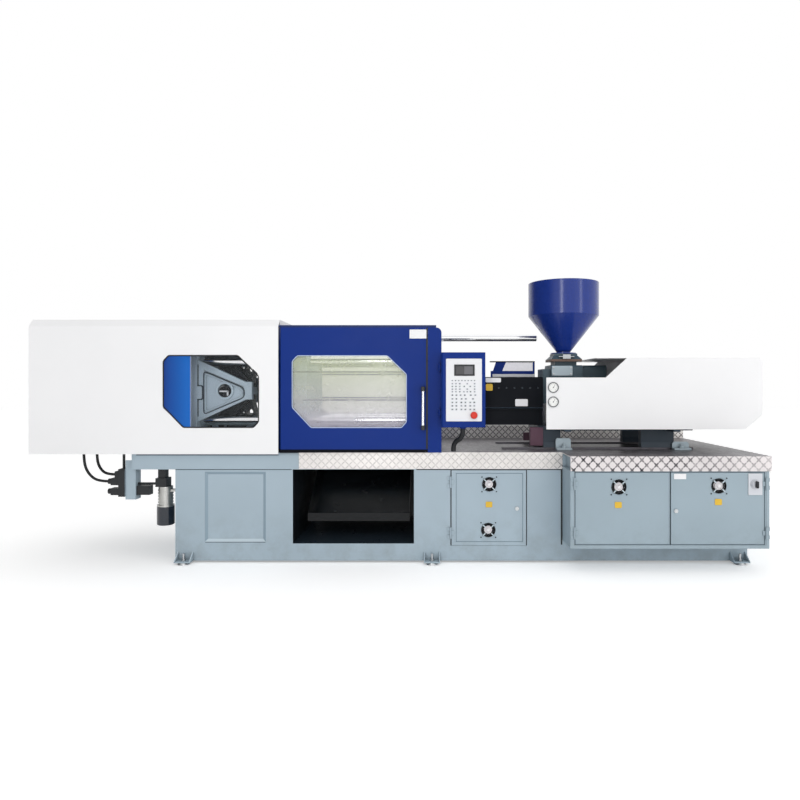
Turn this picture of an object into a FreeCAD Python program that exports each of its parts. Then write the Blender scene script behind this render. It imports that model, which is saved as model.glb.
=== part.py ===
import FreeCAD, Part
import math
import os

V = FreeCAD.Vector
os.makedirs("parts", exist_ok=True)

# ======================================================================
# Injection moulding machine with a five-point toggle clamp.
# Millimetres. X runs from the clamp end to the injection end, the
# operator stands on the -Y side, +Z is up, the floor is Z = 0.
# ======================================================================

# Overall
length = 5300.0                 # clamp cover end to injection cover end
half_depth = 765.0              # middle plane to the rear edge of the deck
total_height = 2083.0           # floor to the rim of the hopper
axis_z = 1237.0                 # machine centre line above the floor
running_gap = 0.3               # between faces that slide past each other
bore_gap = 0.5                  # on the radius of a sliding bore

# Welded base
base_half_y = 472.0             # middle plane to the front of the base
base_bottom = 15.0              # floor to the underside of the base
base_left = -1618.0
base_right = 2500.0
bed_top = 790.0                 # top of the base, under the tread sheet
bed_depth = 119.0               # height of the clamp bed beam
bed_overhang = 315.0            # beam past the left pedestal
drop_left = -772.0              # product drop opening in the base
drop_right = 100.0
sill_height = 123.0             # rail under the drop opening
rear_sheet = 12.0               # closing sheet behind the drop opening
chute_high = 600.0              # chute floor at the rear sheet
chute_low = 263.0               # and at its front edge
chute_front = -300.0
chute_lip = 60.0
chute_sheet = 4.0
chute_side_gap = 40.0
well_half_y = 230.0             # slot in the bed that products fall through
well_left = -690.0
way_height = 10.0               # hardened strips that the platens slide on
way_inner = 240.0
way_outer = 320.0

# Pressed panel on the left pedestal
panel_left = -1406.0
panel_right = -967.0
panel_bottom = 150.0
panel_top = 655.0
panel_border = 20.0
panel_deep = 10.0

# Feet
foot_places = (-1545.0, 230.0, 2430.0)
foot_width = 115.0
foot_out = 70.0
foot_height = 65.0
foot_plate = 10.0
pad_r = 42.0
stud_r = 9.0
stud_height = 75.0

# Tread deck
tread = 5.0                     # sheet thickness
deck_left = -728.0
deck_right = 2534.0
step_x = 1169.0                 # where the deck widens over the cabinet
cabinet_front = 730.0           # middle plane to the front of the cabinet
skirt_low = 675.0               # lower edge of the tread skirt on the base
skirt_low_cabinet = 693.0
upstand = 85.0                  # tread edge standing up along the rear
deck_well_right = 305.0         # hole in the tread round the fixed platen
deck_well_half_y = 345.0
shelf_left = 305.0              # rear shelf of the deck

# Electrical cabinet
cab_left = 1169.0
cab_right = 2520.0
cab_bottom = 167.0
cab_top = 693.0
cab_wall = 4.0
cab_border = 28.0               # frame left and right of the doors
cab_border_low = 26.0
cab_border_top = 5.0
cab_mullion = 40.0
cab_seam_x = 1847.0             # middle of the gap between the two doors
cab_door_gap = 10.0             # between the two doors
door_thick = 16.0
door_rebate = 2.0               # gap round a door in its recess
seal_width = 20.0               # frame that a door closes against

# Hydraulics bay
bay_left = 364.0
bay_right = 912.0
bay_bottom = 125.0
bay_top = 671.0
bay_depth = 620.0
fold_border = 22.0              # raised fold round the sheet doors
fold_deep = 3.0
cab_fold = 6.0                  # narrower fold round the cabinet doors

# Main switch on the right cabinet door
switch_x = 2424.0
switch_z = 605.0
switch_wide = 95.0
switch_high = 146.0
switch_thick = 5.0
knob_r = 26.0
knob_front = 765.0              # middle plane to the front of the knob

# Cabinet fans
fan_r = 52.0                    # opening of a 120 mm fan
fan_square = 119.0
fan_thick = 38.0
fan_hub_r = 30.0
fan_blades = 7
fan_rings = (48.0, 36.0, 24.0)   # finger guard in front of each fan
fan_wire = 2.5

# Clamp platens
platen_half = 330.0             # half side of the square platens
tie_y = 225.0                   # tie bar centres from the machine axis
tie_r = 38.0
fixed_face = 91.5               # mould face of the fixed platen
fixed_thick = 200.0
daylight = 790.0                # mould faces apart with the clamp open
moving_plate = 130.0
moving_box = 220.0              # depth of the box behind the moving platen
moving_box_half_y = 200.0
tail_thick = 130.0
tail_gap = 468.0                # tail platen to moving platen, clamp open
platen_corner = 40.0
locating_r = 62.5               # mould locating bore
locating_deep = 30.0
nozzle_cone_r = 130.0
bolt_r = 8.0                    # M16 mould bolts
bolt_deep = 40.0
bolt_y = 175.0
bolt_z = 105.0
nut_r = 60.0
nut_thick = 42.0
tie_end_left = -1790.0

# Toggle linkage, measured from the pins in the tail platen
toggle_out = 280.0              # outer pins from the machine axis
pin_stand = 58.0                # outer pins in front of the tail platen
knee_x = 225.0                  # knee pin with the clamp open
knee_in = 220.0
front_pin_x = 285.0             # moving platen pin with the clamp open
cross_arm_x = 230.0             # crosshead link pin along the rear link
cross_arm_in = 60.0
cross_link = 152.0              # crosshead link, centre to centre
cross_pin_off = 70.0            # crosshead pins from the machine axis
link_r = 42.0
pin_r = 24.0
small_pin_r = 16.0
small_link_r = 28.0
front_half_y = 50.0             # layers of the linkage across the machine
rear_in_y = 55.0
rear_out_y = 95.0
cross_in_y = 100.0
cross_out_y = 130.0
cross_half_x = 38.0
guide_rod_r = 14.0
guide_rod_y = 65.0
piston_rod_r = 30.0

# Side castings that carry the crosshead guides
casting_in_y = 275.0
casting_out_y = 315.0
casting_reach = 405.0
casting_root = 231.0
casting_tip = 66.0
casting_nose = 48.0             # straight end beyond the taper
casting_field = 10.0            # depth of the sunk field
casting_eye_x = 201.0           # hole behind the front of the tail platen
casting_eye_r = 51.0
bridge_x = 346.0                # guide rod bridge in front of the tail platen
bridge_thick = 20.0
bridge_half_z = 30.0

# Clamp cylinder
cylinder_r = 95.0
cylinder_bore = 66.0
cylinder_length = 560.0
cylinder_head = 40.0

# Safety bar over the platens
bar_r = 28.0
bar_y = 260.0
bar_z = 1671.0
bar_right = 1110.0
bar_bevel = 8.0
bar_block = 70.0

# Ejector in the back of the moving platen
ejector_half_y = 118.0
ejector_half_z = 32.0
ejector_thick = 24.0
ejector_rod_r = 20.0
ejector_pin_r = 12.0
ejector_pin_y = 90.0
pocket_half_y = 130.0
pocket_half_z = 45.0
pocket_deep = 135.0

# Guarding
cover_y = 512.0                 # middle plane to the clamp cover's face
cover_left = -length / 2
cover_right = -868.0
cover_bottom = 785.0
cover_top = 1750.0
cover_chamfer = 50.0
cover_sheet = 4.0
cover_flange = 52.0
cover_lip = 45.0                # fold hanging from the roof at the open end
cover_window = (-1689.0, -1008.5, 976.0, 1490.0)
cover_window_cut = (143.0, 133.0, 148.0, 138.0)
door_left = -858.0
door_right = 200.0
door_bottom = 818.0
door_top = 1691.0
door_face = 500.0               # middle plane to the outer face of a door
door_depth = 40.0
door_window = (-771.0, 47.0, 974.0, 1489.0)
door_window_cut = (138.0, 133.0, 135.0, 144.0)
door_bars = (1373.0, 1171.0)    # guard bars across the sight, behind the pane
door_bar_half = 6.0
door_bar_deep = (22.0, 32.0)    # from the door's outer face
window_nick = (36.0, 40.0)
pane = 4.0
pane_lap = 16.0                 # pane behind the edge of its window
post_right = 298.0
post_round = 38.0
rail_height = 17.0
rail_left = -1820.0
handle_x = 166.0
handle_low = 966.0
handle_high = 1261.0
handle_r = 11.0
handle_out = 42.0

# Operator controller
box_left = 296.0
box_right = 604.0
box_bottom = 982.0
box_top = 1508.0
box_front = 600.0
box_deep = 85.0
box_round = 10.0
fascia_left = 327.0
fascia_right = 579.0
fascia_bottom = 1024.0
fascia_top = 1464.0
fascia_sunk = 3.0
screen = (385.0, 528.0, 1343.0, 1422.0)
hinge_r = 9.0
hinge_x = 284.0
hinge_y = -520.0
hinge_pin_r = 4.0
hinge_heights = (1080.0, 1406.0)
hinge_length = 56.0
stop_x = 523.0
stop_z = 1067.0
stop_r = 25.0
stop_stem_r = 11.0
gland_r = 21.0

# Conduit from the controller down to the deck
conduit_r = 17.5
conduit_route = [
    V(449, -533, 970), V(449, -533, 939), V(441, -523, 911), V(426, -504, 890),
    V(408, -481, 880), V(393, -462, 859), V(385, -452, 831), V(385, -452, 800),
]

# Injection unit
inj_rail_y = 230.0
inj_rail_half = 25.0
inj_rail_height = 14.0
inj_rail_left = 760.0
inj_rail_right = 2200.0
carriage_left = 1038.0
carriage_right = 2200.0
carriage_half_y = 250.0
carriage_low = 936.0
carriage_thick = 30.0
foot_flange = 14.0              # foot wider than its way, each side
front_foot = (1070.0, 1199.0)
rear_foot = (1806.0, 2054.0)
front_block = (992.0, 78.0)     # stop block before the front foot: left side, height above the foot
shoe_out = 60.0                 # clamp shoes stand out from the feet
shoe_spans = ((1159.0, 1272.0, 881.0), (2054.0 - 20.0, 2158.0, 854.0))
shoe_plate = 14.0
shoe_nut_r = 17.0
arm_starts = (1200.0, 2000.0)   # cross arms that carry the cover
arm_wide = 50.0
barrel_r = 55.0
band_r = 66.0
screw_r = 22.5
screw_root_r = 17.0
barrel_left = 480.0
barrel_right = 1400.0
nozzle_r = 30.0
nozzle_tip = 400.0
band_first = 540.0
band_pitch = 92.0
band_count = 6
band_width = 80.0
guard_left = 628.0
guard_right = 1078.0
guard_bottom = 974.0
guard_step = 1100.0
guard_top = 1341.0
guard_half_y = 200.0
guard_sheet = 3.0
guard_narrow = 14.0             # lower skirt stands in from the upper sides
screen_y = 178.0                # splash screen on the guard's rear edge
screen_sheet = 6.0
screen_top = 1476.0
screen_rail = 55.0
screen_strip = 8.0
screen_lean = (708.0, 758.0, 841.0, 715.0, 787.0)  # strip's end, slanted bar's top and foot
pull_y = 120.0                  # carriage cylinders
pull_z = 1030.0
pull_r = 42.0
pull_rod_r = 18.0
pull_left = 660.0
carriage_travel = 280.0
pull_end = 20.0                 # blind end of the carriage cylinders

# Injection cover
shell_y = 400.0
shell_left = 1067.0
shell_bottom = 954.5
shell_top = 1478.0
shell_low_top = 1334.0
shell_step_a = 1501.0
shell_step_b = 1657.0
shell_lid_left = 1430.0         # top sheet runs on to the left over the notch
shell_nose = (110.0, 100.0)
shell_sheet = 3.0
gauge_x = 1117.0
gauge_heights = (1261.0, 1156.0)
gauge_r = 38.5
gauge_out = 10.0

# Feed housing, hopper and injection cylinders
hopper_x = 1275.5
hopper_r = 275.0
hopper_cylinder = 258.0
hopper_cone_low = 1530.0
hopper_neck_r = 52.0
hopper_sheet = 3.0
hopper_flange_r = 100.0
base_flare = 240.0
base_top_half = 90.0
hopper_base_low = 1463.0
throat_r = 50.0
feed_left = 1151.0
feed_right = 1400.0
feed_half_y = 130.0
feed_top = 1434.0
gate_thick = 5.0
gate_z = 1498.0
gate_half_x = 60.0
inj_y = 190.0
inj_r = 62.0
inj_rod_r = 24.0
inj_left = 1421.0
inj_right = 1780.0
drive_x = 1850.0
drive_thick = 60.0
motor_r = 95.0
motor_length = 190.0

# Lubrication unit, valve bracket and hoses under the clamp end
lube_x = -1725.0
lube_y = -380.0
valve_bracket_x = (-1993.0, -1918.0)
valve_bracket_low = 448.0
valve_y = -400.0                # line of the lubrication pipe through the valve block
valve_post_half = 40.0
valve_rows = ((480.0, 108.0), (552.0, 108.0), (602.0, 79.0))   # foot and reach of each valve
valve_coil_r = 20.0
manifold_low = 470.0
manifold_high = 670.0
bulkhead_left = -2370.0
hose_r = 9.5
hose_routes = {
    "clamp_hose_outer": [
        V(-2322, -390, 790), V(-2322, -390, 702), V(-2280, -396, 622),
        V(-2206, -410, 577), V(-2128, -410, 577),
    ],
    "clamp_hose_inner": [
        V(-2235, -372, 790), V(-2235, -372, 721), V(-2201, -386, 661),
        V(-2141, -410, 627), V(-2072, -410, 627),
    ],
}


# ------------------------------------------------------------ basic forms

def block(x0, x1, y0, y1, z0, z1):
    return Part.makeBox(x1 - x0, y1 - y0, z1 - z0, V(x0, y0, z0))


def rod_x(x0, x1, y, z, r):
    return Part.makeCylinder(r, x1 - x0, V(x0, y, z), V(1, 0, 0))


def rod_y(x, y0, y1, z, r):
    return Part.makeCylinder(r, y1 - y0, V(x, y0, z), V(0, 1, 0))


def rod_z(x, y, z0, z1, r):
    return Part.makeCylinder(r, z1 - z0, V(x, y, z0), V(0, 0, 1))


def plate_xz(points, y0, y1):
    """A flat outline in the XZ plane, as thick as y0 to y1."""
    corners = [V(x, y0, z) for x, z in points]
    wire = Part.makePolygon(corners + corners[:1])
    return Part.Face(wire).extrude(V(0, y1 - y0, 0))


def plate_yz(points, x0, x1):
    """A flat outline in the YZ plane, as long as x0 to x1."""
    corners = [V(x0, y, z) for y, z in points]
    wire = Part.makePolygon(corners + corners[:1])
    return Part.Face(wire).extrude(V(x1 - x0, 0, 0))


def turned(points, centre, axis):
    """A body of revolution from (radius, distance along the axis) points."""
    corners = [V(r, 0, h) for r, h in points]
    wire = Part.makePolygon(corners + corners[:1])
    body = Part.Face(wire).revolve(V(0, 0, 0), V(0, 0, 1), 360)
    body.Placement = FreeCAD.Placement(centre, FreeCAD.Rotation(V(0, 0, 1), axis))
    return body


def slot_plate(a, b, r, y0, y1):
    """A link with round ends about two points (x, z)."""
    along = V(b[0] - a[0], 0, b[1] - a[1]).normalize()
    side = V(-along.z, 0, along.x) * r
    ends = [V(a[0], y0, a[1]), V(b[0], y0, b[1])]
    corners = [ends[0] + side, ends[1] + side, ends[1] - side, ends[0] - side]
    bar = Part.Face(Part.makePolygon(corners + corners[:1])).extrude(V(0, y1 - y0, 0))
    return bar.fuse([rod_y(p.x, y0, y1, p.z, r) for p in ends]).removeSplitter()


def joined(*solids):
    return solids[0].fuse(list(solids[1:])).removeSplitter()


def chamfer_along(shape, axis, size):
    """Chamfers the four outer edges of a block that run along one axis."""
    box = shape.BoundBox
    chosen = []
    for edge in shape.Edges:
        run = edge.lastVertex().Point - edge.firstVertex().Point
        if run.Length < 1 or abs(run.normalize().dot(axis)) < 0.999:
            continue
        middle = edge.CenterOfMass
        sides = [
            min(abs(middle.x - box.XMin), abs(middle.x - box.XMax)),
            min(abs(middle.y - box.YMin), abs(middle.y - box.YMax)),
            min(abs(middle.z - box.ZMin), abs(middle.z - box.ZMax)),
        ]
        near = [s for s, a in zip(sides, (axis.x, axis.y, axis.z)) if abs(a) < 0.5]
        if max(near) < 0.01:
            chosen.append(edge)
    return shape.makeChamfer(size, chosen)


def save(name, *solids):
    shape = solids[0] if len(solids) == 1 else Part.makeCompound(list(solids))
    shape.exportStep("parts/" + name + ".step")


# ------------------------------------------------------------ welded base

def foot_bracket(x, side):
    """Base plate with two gussets, welded to the front or rear of the base."""
    inner, outer = side * base_half_y, side * (base_half_y + foot_out)
    left, right = x - foot_width / 2, x + foot_width / 2
    y0, y1 = min(inner, outer), max(inner, outer)
    plate = block(left, right, y0, y1, base_bottom, base_bottom + foot_plate)
    top = base_bottom + foot_height
    outline = [(inner, base_bottom), (outer, base_bottom),
               (outer, base_bottom + foot_plate), (inner, top)]
    gussets = [plate_yz(outline, e, e + 8) for e in (left, right - 8)]
    hole = rod_z(x, (inner + outer) / 2, base_bottom - 1,
                 base_bottom + foot_plate + 1, stud_r + bore_gap)
    return joined(plate, *gussets).cut(hole)


def with_feet(body, x):
    return joined(body, foot_bracket(x, -1), foot_bracket(x, 1))


def levelling_pads():
    pads = []
    for x in foot_places:
        for side in (-1, 1):
            y = side * (base_half_y + foot_out / 2)
            nut_low = base_bottom + foot_plate
            profile = [(0, 0), (pad_r, 0), (pad_r - 8, base_bottom), (stud_r, base_bottom),
                       (stud_r, nut_low), (stud_r + 7, nut_low), (stud_r + 7, nut_low + 10),
                       (stud_r, nut_low + 10), (stud_r, stud_height), (0, stud_height)]
            pads.append(turned(profile, V(x, y, 0), V(0, 0, 1)))
    return pads


def framed_recess(left, right, bottom, top, border, deep, face_y):
    """A pressed recess with sloping sides in a sheet that faces the operator."""
    outer = [V(left, face_y, bottom), V(right, face_y, bottom),
             V(right, face_y, top), V(left, face_y, top)]
    inner = [V(left + border, face_y + deep, bottom + border),
             V(right - border, face_y + deep, bottom + border),
             V(right - border, face_y + deep, top - border),
             V(left + border, face_y + deep, top - border)]
    wires = [Part.makePolygon(c + c[:1]) for c in (outer, inner)]
    return Part.makeLoft(wires, True, True)


bed_low = bed_top - bed_depth


def left_pedestal():
    body = block(base_left, drop_left, -base_half_y, base_half_y, base_bottom, bed_low)
    press = framed_recess(panel_left, panel_right, panel_bottom, panel_top,
                          panel_border, panel_deep, -base_half_y)
    return with_feet(body.cut(press), foot_places[0])


def drop_sill():
    sill = block(drop_left, drop_right, -base_half_y, base_half_y,
                 base_bottom, base_bottom + sill_height)
    rear = block(drop_left, drop_right, base_half_y - rear_sheet, base_half_y,
                 base_bottom, bed_low)
    return joined(sill, rear)


def shelf_bracket(x):
    outline = [(base_half_y, bed_top), (half_depth - tread, bed_top),
               (half_depth - tread, bed_top - 90), (base_half_y, bed_top - 190)]
    return plate_yz(outline, x - 5, x + 5)


def bay_frame():
    body = block(drop_right, step_x, -base_half_y, base_half_y, base_bottom, bed_top)
    recess = block(bay_left - door_rebate, bay_right + door_rebate,
                   -base_half_y, -base_half_y + door_thick,
                   bay_bottom - door_rebate, bay_top + door_rebate)
    bay = block(bay_left + seal_width, bay_right - seal_width,
                -base_half_y, -base_half_y + bay_depth,
                bay_bottom + seal_width, bay_top - seal_width)
    body = body.cut([recess, bay])
    brackets = [shelf_bracket(x) for x in (shelf_left + 20, step_x - 40)]
    return with_feet(joined(body, *brackets), foot_places[1])


def oil_tank():
    body = block(step_x, base_right, -base_half_y, base_half_y, base_bottom, bed_top)
    brackets = [shelf_bracket(x) for x in (1900.0, base_right - 20)]
    covers = [rod_y(x, base_half_y, base_half_y + 12, 400, 150) for x in (1600.0, 2150.0)]
    return with_feet(joined(body, *brackets, *covers), foot_places[2])


def clamp_bed():
    left = base_left - bed_overhang
    body = block(left, drop_right, -base_half_y, base_half_y, bed_low, bed_top)
    well = block(well_left, drop_right + 1, -well_half_y, well_half_y,
                 bed_low - 1, bed_top + 1)
    ways = [block(left + 30, drop_right - 40, min(a, b), max(a, b), bed_top, bed_top + way_height)
            for a, b in ((way_inner, way_outer), (-way_inner, -way_outer))]
    return joined(body.cut(well), *ways)


def deck_plate():
    """Tread sheet on the base, with the skirts folded down along the front."""
    low, high = bed_top, bed_top + tread
    front = -base_half_y - tread
    cab_face = -cabinet_front - tread
    sheet = joined(
        block(deck_left, step_x, front, base_half_y, low, high),
        block(step_x - tread, deck_right, cab_face, base_half_y, low, high),
        block(shelf_left, deck_right, base_half_y, half_depth, low, high),
        block(deck_left, step_x, front, -base_half_y, skirt_low, high),
        block(step_x, deck_right, cab_face, -cabinet_front, skirt_low_cabinet, high),
        block(shelf_left, deck_right, half_depth - tread, half_depth,
              skirt_low_cabinet, high + upstand),
        block(deck_right - tread, deck_right, cab_face, half_depth,
              skirt_low_cabinet, high),
    )
    well = block(deck_left - 1, deck_well_right, -deck_well_half_y, deck_well_half_y,
                 low - 1, high + 1)
    return sheet.cut(well)


def product_chute():
    """Folded sheet under the drop that throws the products out to the front."""
    left, right = well_left - chute_sheet, drop_right - chute_side_gap
    back = base_half_y - rear_sheet
    floor = plate_yz([(back, chute_high), (back, chute_high + chute_sheet),
                      (chute_front, chute_low + chute_sheet), (chute_front, chute_low)], left, right)
    lip = block(left, right, chute_front, chute_front + chute_sheet, chute_low, chute_low + chute_lip)
    wall = [(back, chute_high), (back, bed_low), (well_half_y, bed_low),
            (chute_front, chute_low + chute_lip), (chute_front, chute_low)]
    walls = [plate_yz(wall, left - chute_sheet, left), plate_yz(wall, right, right + chute_sheet)]
    return joined(floor, lip, *walls)


# ------------------------------------------------------------ sheet doors

def fan_parts(x, z, face_y):
    """Finger guard in front of a fan and the square fan frame behind it."""
    rings = []
    for r in fan_rings:
        ring = rod_y(x, face_y - 6, face_y - 4, z, r)
        rings.append(ring.cut(rod_y(x, face_y - 7, face_y - 3, z, r - fan_wire)))
    spokes = []
    for turn in (45, 135, 225, 315):
        spoke = block(x + 8, x + fan_r + 6, face_y - 4, face_y + fold_deep - 1, z - 1.5, z + 1.5)
        spokes.append(spoke.rotated(V(x, face_y, z), V(0, 1, 0), turn))
    boss = rod_y(x, face_y - 6, face_y - 2, z, 10)
    guard = joined(boss, *spokes, *rings)
    back = face_y + door_thick
    half = fan_square / 2
    frame = block(x - half, x + half, back, back + fan_thick, z - half, z + half)
    frame = frame.cut(rod_y(x, back - 1, back + fan_thick + 1, z, fan_r))
    strut = block(x - half + 2, x + half - 2, back + fan_thick - 4, back + fan_thick,
                  z - 6, z + 6)
    seat = rod_y(x, back + fan_thick - 10, back + fan_thick, z, 8)
    return guard, joined(frame, strut, seat)


def fan_rotor(x, z, face_y):
    back = face_y + door_thick
    hub = rod_y(x, back + 6, back + fan_thick - 10 - running_gap, z, fan_hub_r)
    blades = []
    for turn in range(fan_blades):
        blade = block(x + fan_hub_r - 3, x + fan_r - 3, back + 14, back + 16, z - 13, z + 13)
        blade = blade.rotated(V(x, back + 15, z), V(1, 0, 0), 32)
        blades.append(blade.rotated(V(x, 0, z), V(0, 1, 0), turn * 360.0 / fan_blades))
    return joined(hub, *blades)


def lock(x, z, face_y):
    """Key lock with its turning tongue left inside the door."""
    return joined(rod_y(x, face_y - 6, face_y, z, 14), rod_y(x, face_y, face_y + door_thick, z, 9))


def sheet_door(left, right, bottom, top, face_y, border, fans):
    """Folded tray: a flat skin with its edges turned back and a raised border."""
    skin = block(left, right, face_y, face_y + door_thick, bottom, top)
    hollow = block(left + 3, right - 3, face_y + 5, face_y + door_thick + 1, bottom + 3, top - 3)
    field = framed_recess(left + border, right - border, bottom + border, top - border,
                          fold_deep, fold_deep - 1, face_y)
    door = skin.cut([hollow, field])
    field_y = face_y + fold_deep - 1
    holes = [rod_y(x, face_y - 1, face_y + door_thick, z, fan_r) for x, z in fans]
    pads = []
    for x, z in fans:
        half = fan_square / 2
        pad = block(x - half, x + half, field_y + 1, face_y + door_thick, z - half, z + half)
        pads.append(pad)
    if fans:
        door = joined(door, *pads).cut(holes)
    return door


hatch_face = -base_half_y - 2
hatch_hinge_z = (bay_bottom + 90, bay_top - 90)
hatch_fans = [(642.0, 564.0), (635.0, 235.0)]
hatch_lock = (842.0, 390.0)
right_lock = (1886.0, 423.0)
cab_face = -cabinet_front
left_door = (cab_left + cab_border, cab_seam_x - cab_door_gap / 2)
right_door = (cab_seam_x + cab_door_gap / 2, cab_right - cab_border + 5)
cab_door_z = (cab_bottom + cab_border_low, cab_top - cab_border_top)
left_fans = [(1499.0, 586.0)]
right_fans = [(2178.0, 593.0)]
cab_hinge_z = (cab_door_z[0] + 80, cab_door_z[1] - 80)


def door_set(left, right, bottom, top, face_y, border, fans, hinge_x, toward, hinge_z, lock_at):
    """A sheet door with its fans, lock and the door half of its hinges."""
    door = sheet_door(left, right, bottom, top, face_y, border, fans)
    extras = []
    for x, z in fans:
        guard, frame = fan_parts(x, z, face_y)
        extras.append(guard)
        extras.append(frame)
    if lock_at:
        x, z = lock_at
        door = door.cut(rod_y(x, face_y - 1, face_y + door_thick + 1, z, 9 + running_gap))
        extras.append(lock(x, z, face_y))
    bore = rod_z(hinge_x, face_y - 6, bottom, top, 3 + running_gap)
    for z in hinge_z:
        eye = rod_z(hinge_x, face_y - 6, z - 15, z + 15, 6)
        x0, x1 = sorted((hinge_x, hinge_x + toward * 24))
        leaf = block(x0, x1, face_y - 3, face_y, z - 15, z + 15)
        door = joined(door, joined(eye, leaf).cut(bore))
    return [door] + extras


def switch_plate():
    field_y = cab_face + fold_deep - 1
    plate = block(switch_x - switch_wide / 2, switch_x + switch_wide / 2, field_y - switch_thick,
                  field_y, switch_z - switch_high / 2, switch_z + switch_high / 2)
    collar = rod_y(switch_x, field_y - switch_thick - 6, field_y - switch_thick, switch_z, knob_r + 6)
    return joined(plate, collar)


def switch_knob():
    """Round base with a raised grip bar; turns a quarter turn."""
    back = cab_face + fold_deep - 1 - switch_thick - 6 - running_gap
    disc = rod_y(switch_x, back - 8, back, switch_z, knob_r)
    grip = block(switch_x - 8, switch_x + 8, -knob_front, back - 8, switch_z - knob_r + 3,
                 switch_z + knob_r - 3)
    grip = chamfer_along(grip, V(0, 1, 0), 4)
    return joined(disc, grip)


def hinge_halves(hinge_x, face_y, toward, hinge_z):
    """The fixed half of a door's hinges: two knuckles, a leaf and the pin."""
    halves = []
    for z in hinge_z:
        for z0, z1 in ((z - 40, z - 15 - running_gap), (z + 15 + running_gap, z + 40)):
            eye = rod_z(hinge_x, face_y - 6, z0, z1, 6)
            x0, x1 = sorted((hinge_x, hinge_x - toward * 24))
            leaf = block(x0, x1, face_y - 3, face_y + 3, z0, z1)
            halves.append(joined(eye, leaf))
        halves.append(rod_z(hinge_x, face_y - 6, z - 40, z + 40, 3))
    return joined(*halves)


# ------------------------------------------------------------ cabinet

def electrical_cabinet():
    body = block(cab_left, cab_right, cab_face, -base_half_y, cab_bottom, cab_top)
    z0, z1 = cab_door_z
    recess = block(left_door[0] - door_rebate, right_door[1] + door_rebate,
                   cab_face, cab_face + door_thick + running_gap,
                   z0 - door_rebate, z1 + door_rebate)
    room = block(cab_left + cab_wall, cab_right - cab_wall,
                 cab_face + door_thick + cab_wall, -base_half_y - cab_wall,
                 cab_bottom + cab_wall, cab_top - cab_wall)
    mouth_low, mouth_high = z0 + seal_width, z1 - seal_width
    mouths = [block(left_door[0] + seal_width, cab_seam_x - cab_mullion / 2,
                    cab_face, cab_face + 60, mouth_low, mouth_high),
              block(cab_seam_x + cab_mullion / 2, right_door[1] - seal_width,
                    cab_face, cab_face + 60, mouth_low, mouth_high)]
    body = body.cut([recess, room] + mouths)
    ribs = [block(x, x + 6, cab_face + 4, -base_half_y, cab_top, bed_top)
            for x in (cab_left + 30, cab_seam_x, cab_right - 36)]
    left_half = hinge_halves(left_door[0] - 1, cab_face, 1, cab_hinge_z)
    right_half = hinge_halves(right_door[1] + 1, cab_face, -1, cab_hinge_z)
    gear_back = -base_half_y - cab_wall
    plate = block(cab_left + 60, cab_right - 60, gear_back - 4, gear_back,
                  cab_bottom + 60, cab_top - 60)
    gear = [plate]
    for row in range(2):
        for column in range(5):
            x = cab_left + 120 + column * 235
            z = cab_bottom + 100 + row * 190
            gear.append(block(x, x + 150, gear_back - 64, gear_back - 4, z, z + 110))
    return joined(body, *ribs, left_half, right_half), joined(*gear)


# ------------------------------------------------------------ bay contents

def pump_motor():
    """Electric motor with its gear pump, bolted to the floor of the bay."""
    z = 330.0
    floor = bay_bottom + seal_width
    barrel = rod_x(480, 760, -170, z, 125)
    fins = [rod_x(500 + 30 * i, 506 + 30 * i, -170, z, 133) for i in range(8)]
    feet = block(520, 720, -290, -50, floor, z - 90)
    box = block(560, 660, -210, -130, z + 110, z + 175)
    pump = joined(rod_x(760, 775, -170, z, 90), block(775, 860, -220, -120, z - 60, z + 60))
    return joined(barrel, feet, box, *fins), pump


# ------------------------------------------------------------ guards

def window_outline(window, cuts, grow):
    """Window with its two long corner cuts and two small nicks."""
    left, right, bottom, top = window
    tr_x, tr_z, bl_x, bl_z = cuts
    nick_x, nick_z = window_nick
    return [
        (left - grow, bottom + bl_z - grow * 0.4), (left + bl_x - grow * 0.4, bottom - grow),
        (right - nick_x + grow * 0.4, bottom - grow), (right + grow, bottom + nick_z - grow * 0.4),
        (right + grow, top - tr_z + grow * 0.4), (right - tr_x + grow * 0.4, top + grow),
        (left + nick_x - grow * 0.4, top + grow), (left - grow, top - nick_z + grow * 0.4),
    ]


def guard_posts():
    """Front and rear posts, the portal at the cover and the controller's hinge eyes."""
    posts = []
    low = bed_top + tread
    for side in (-1, 1):
        y0, y1 = sorted((side * door_face, side * (door_face - 60)))
        post = block(door_right + running_gap, post_right, y0, y1, low, door_top)
        corner = [e for e in post.Edges
                  if abs(e.CenterOfMass.x - post_right) < 0.01 and abs(e.CenterOfMass.z - door_top) < 0.01]
        posts.append(post.makeFillet(post_round, corner))
        inner = door_face - door_depth - 5
        y0, y1 = sorted((side * inner, side * (inner - 30)))
        posts.append(block(cover_right - 34, cover_right - 4, y0, y1, bed_top, door_top + rail_height))
    for z in hinge_heights:
        for z0, z1 in ((z - hinge_length / 2, z - 10 - running_gap),
                       (z + 10 + running_gap, z + hinge_length / 2)):
            eye = rod_z(hinge_x, hinge_y, z0, z1, hinge_r)
            arm = block(hinge_x - hinge_r, hinge_x + 2, hinge_y, -door_face, z0, z1)
            posts.append(joined(eye, arm))
        posts.append(rod_z(hinge_x, hinge_y, z - hinge_length / 2, z + hinge_length / 2, hinge_pin_r))
    front = joined(posts[0], *posts[4:])
    return front, posts[2], posts[1], posts[3]


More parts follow.
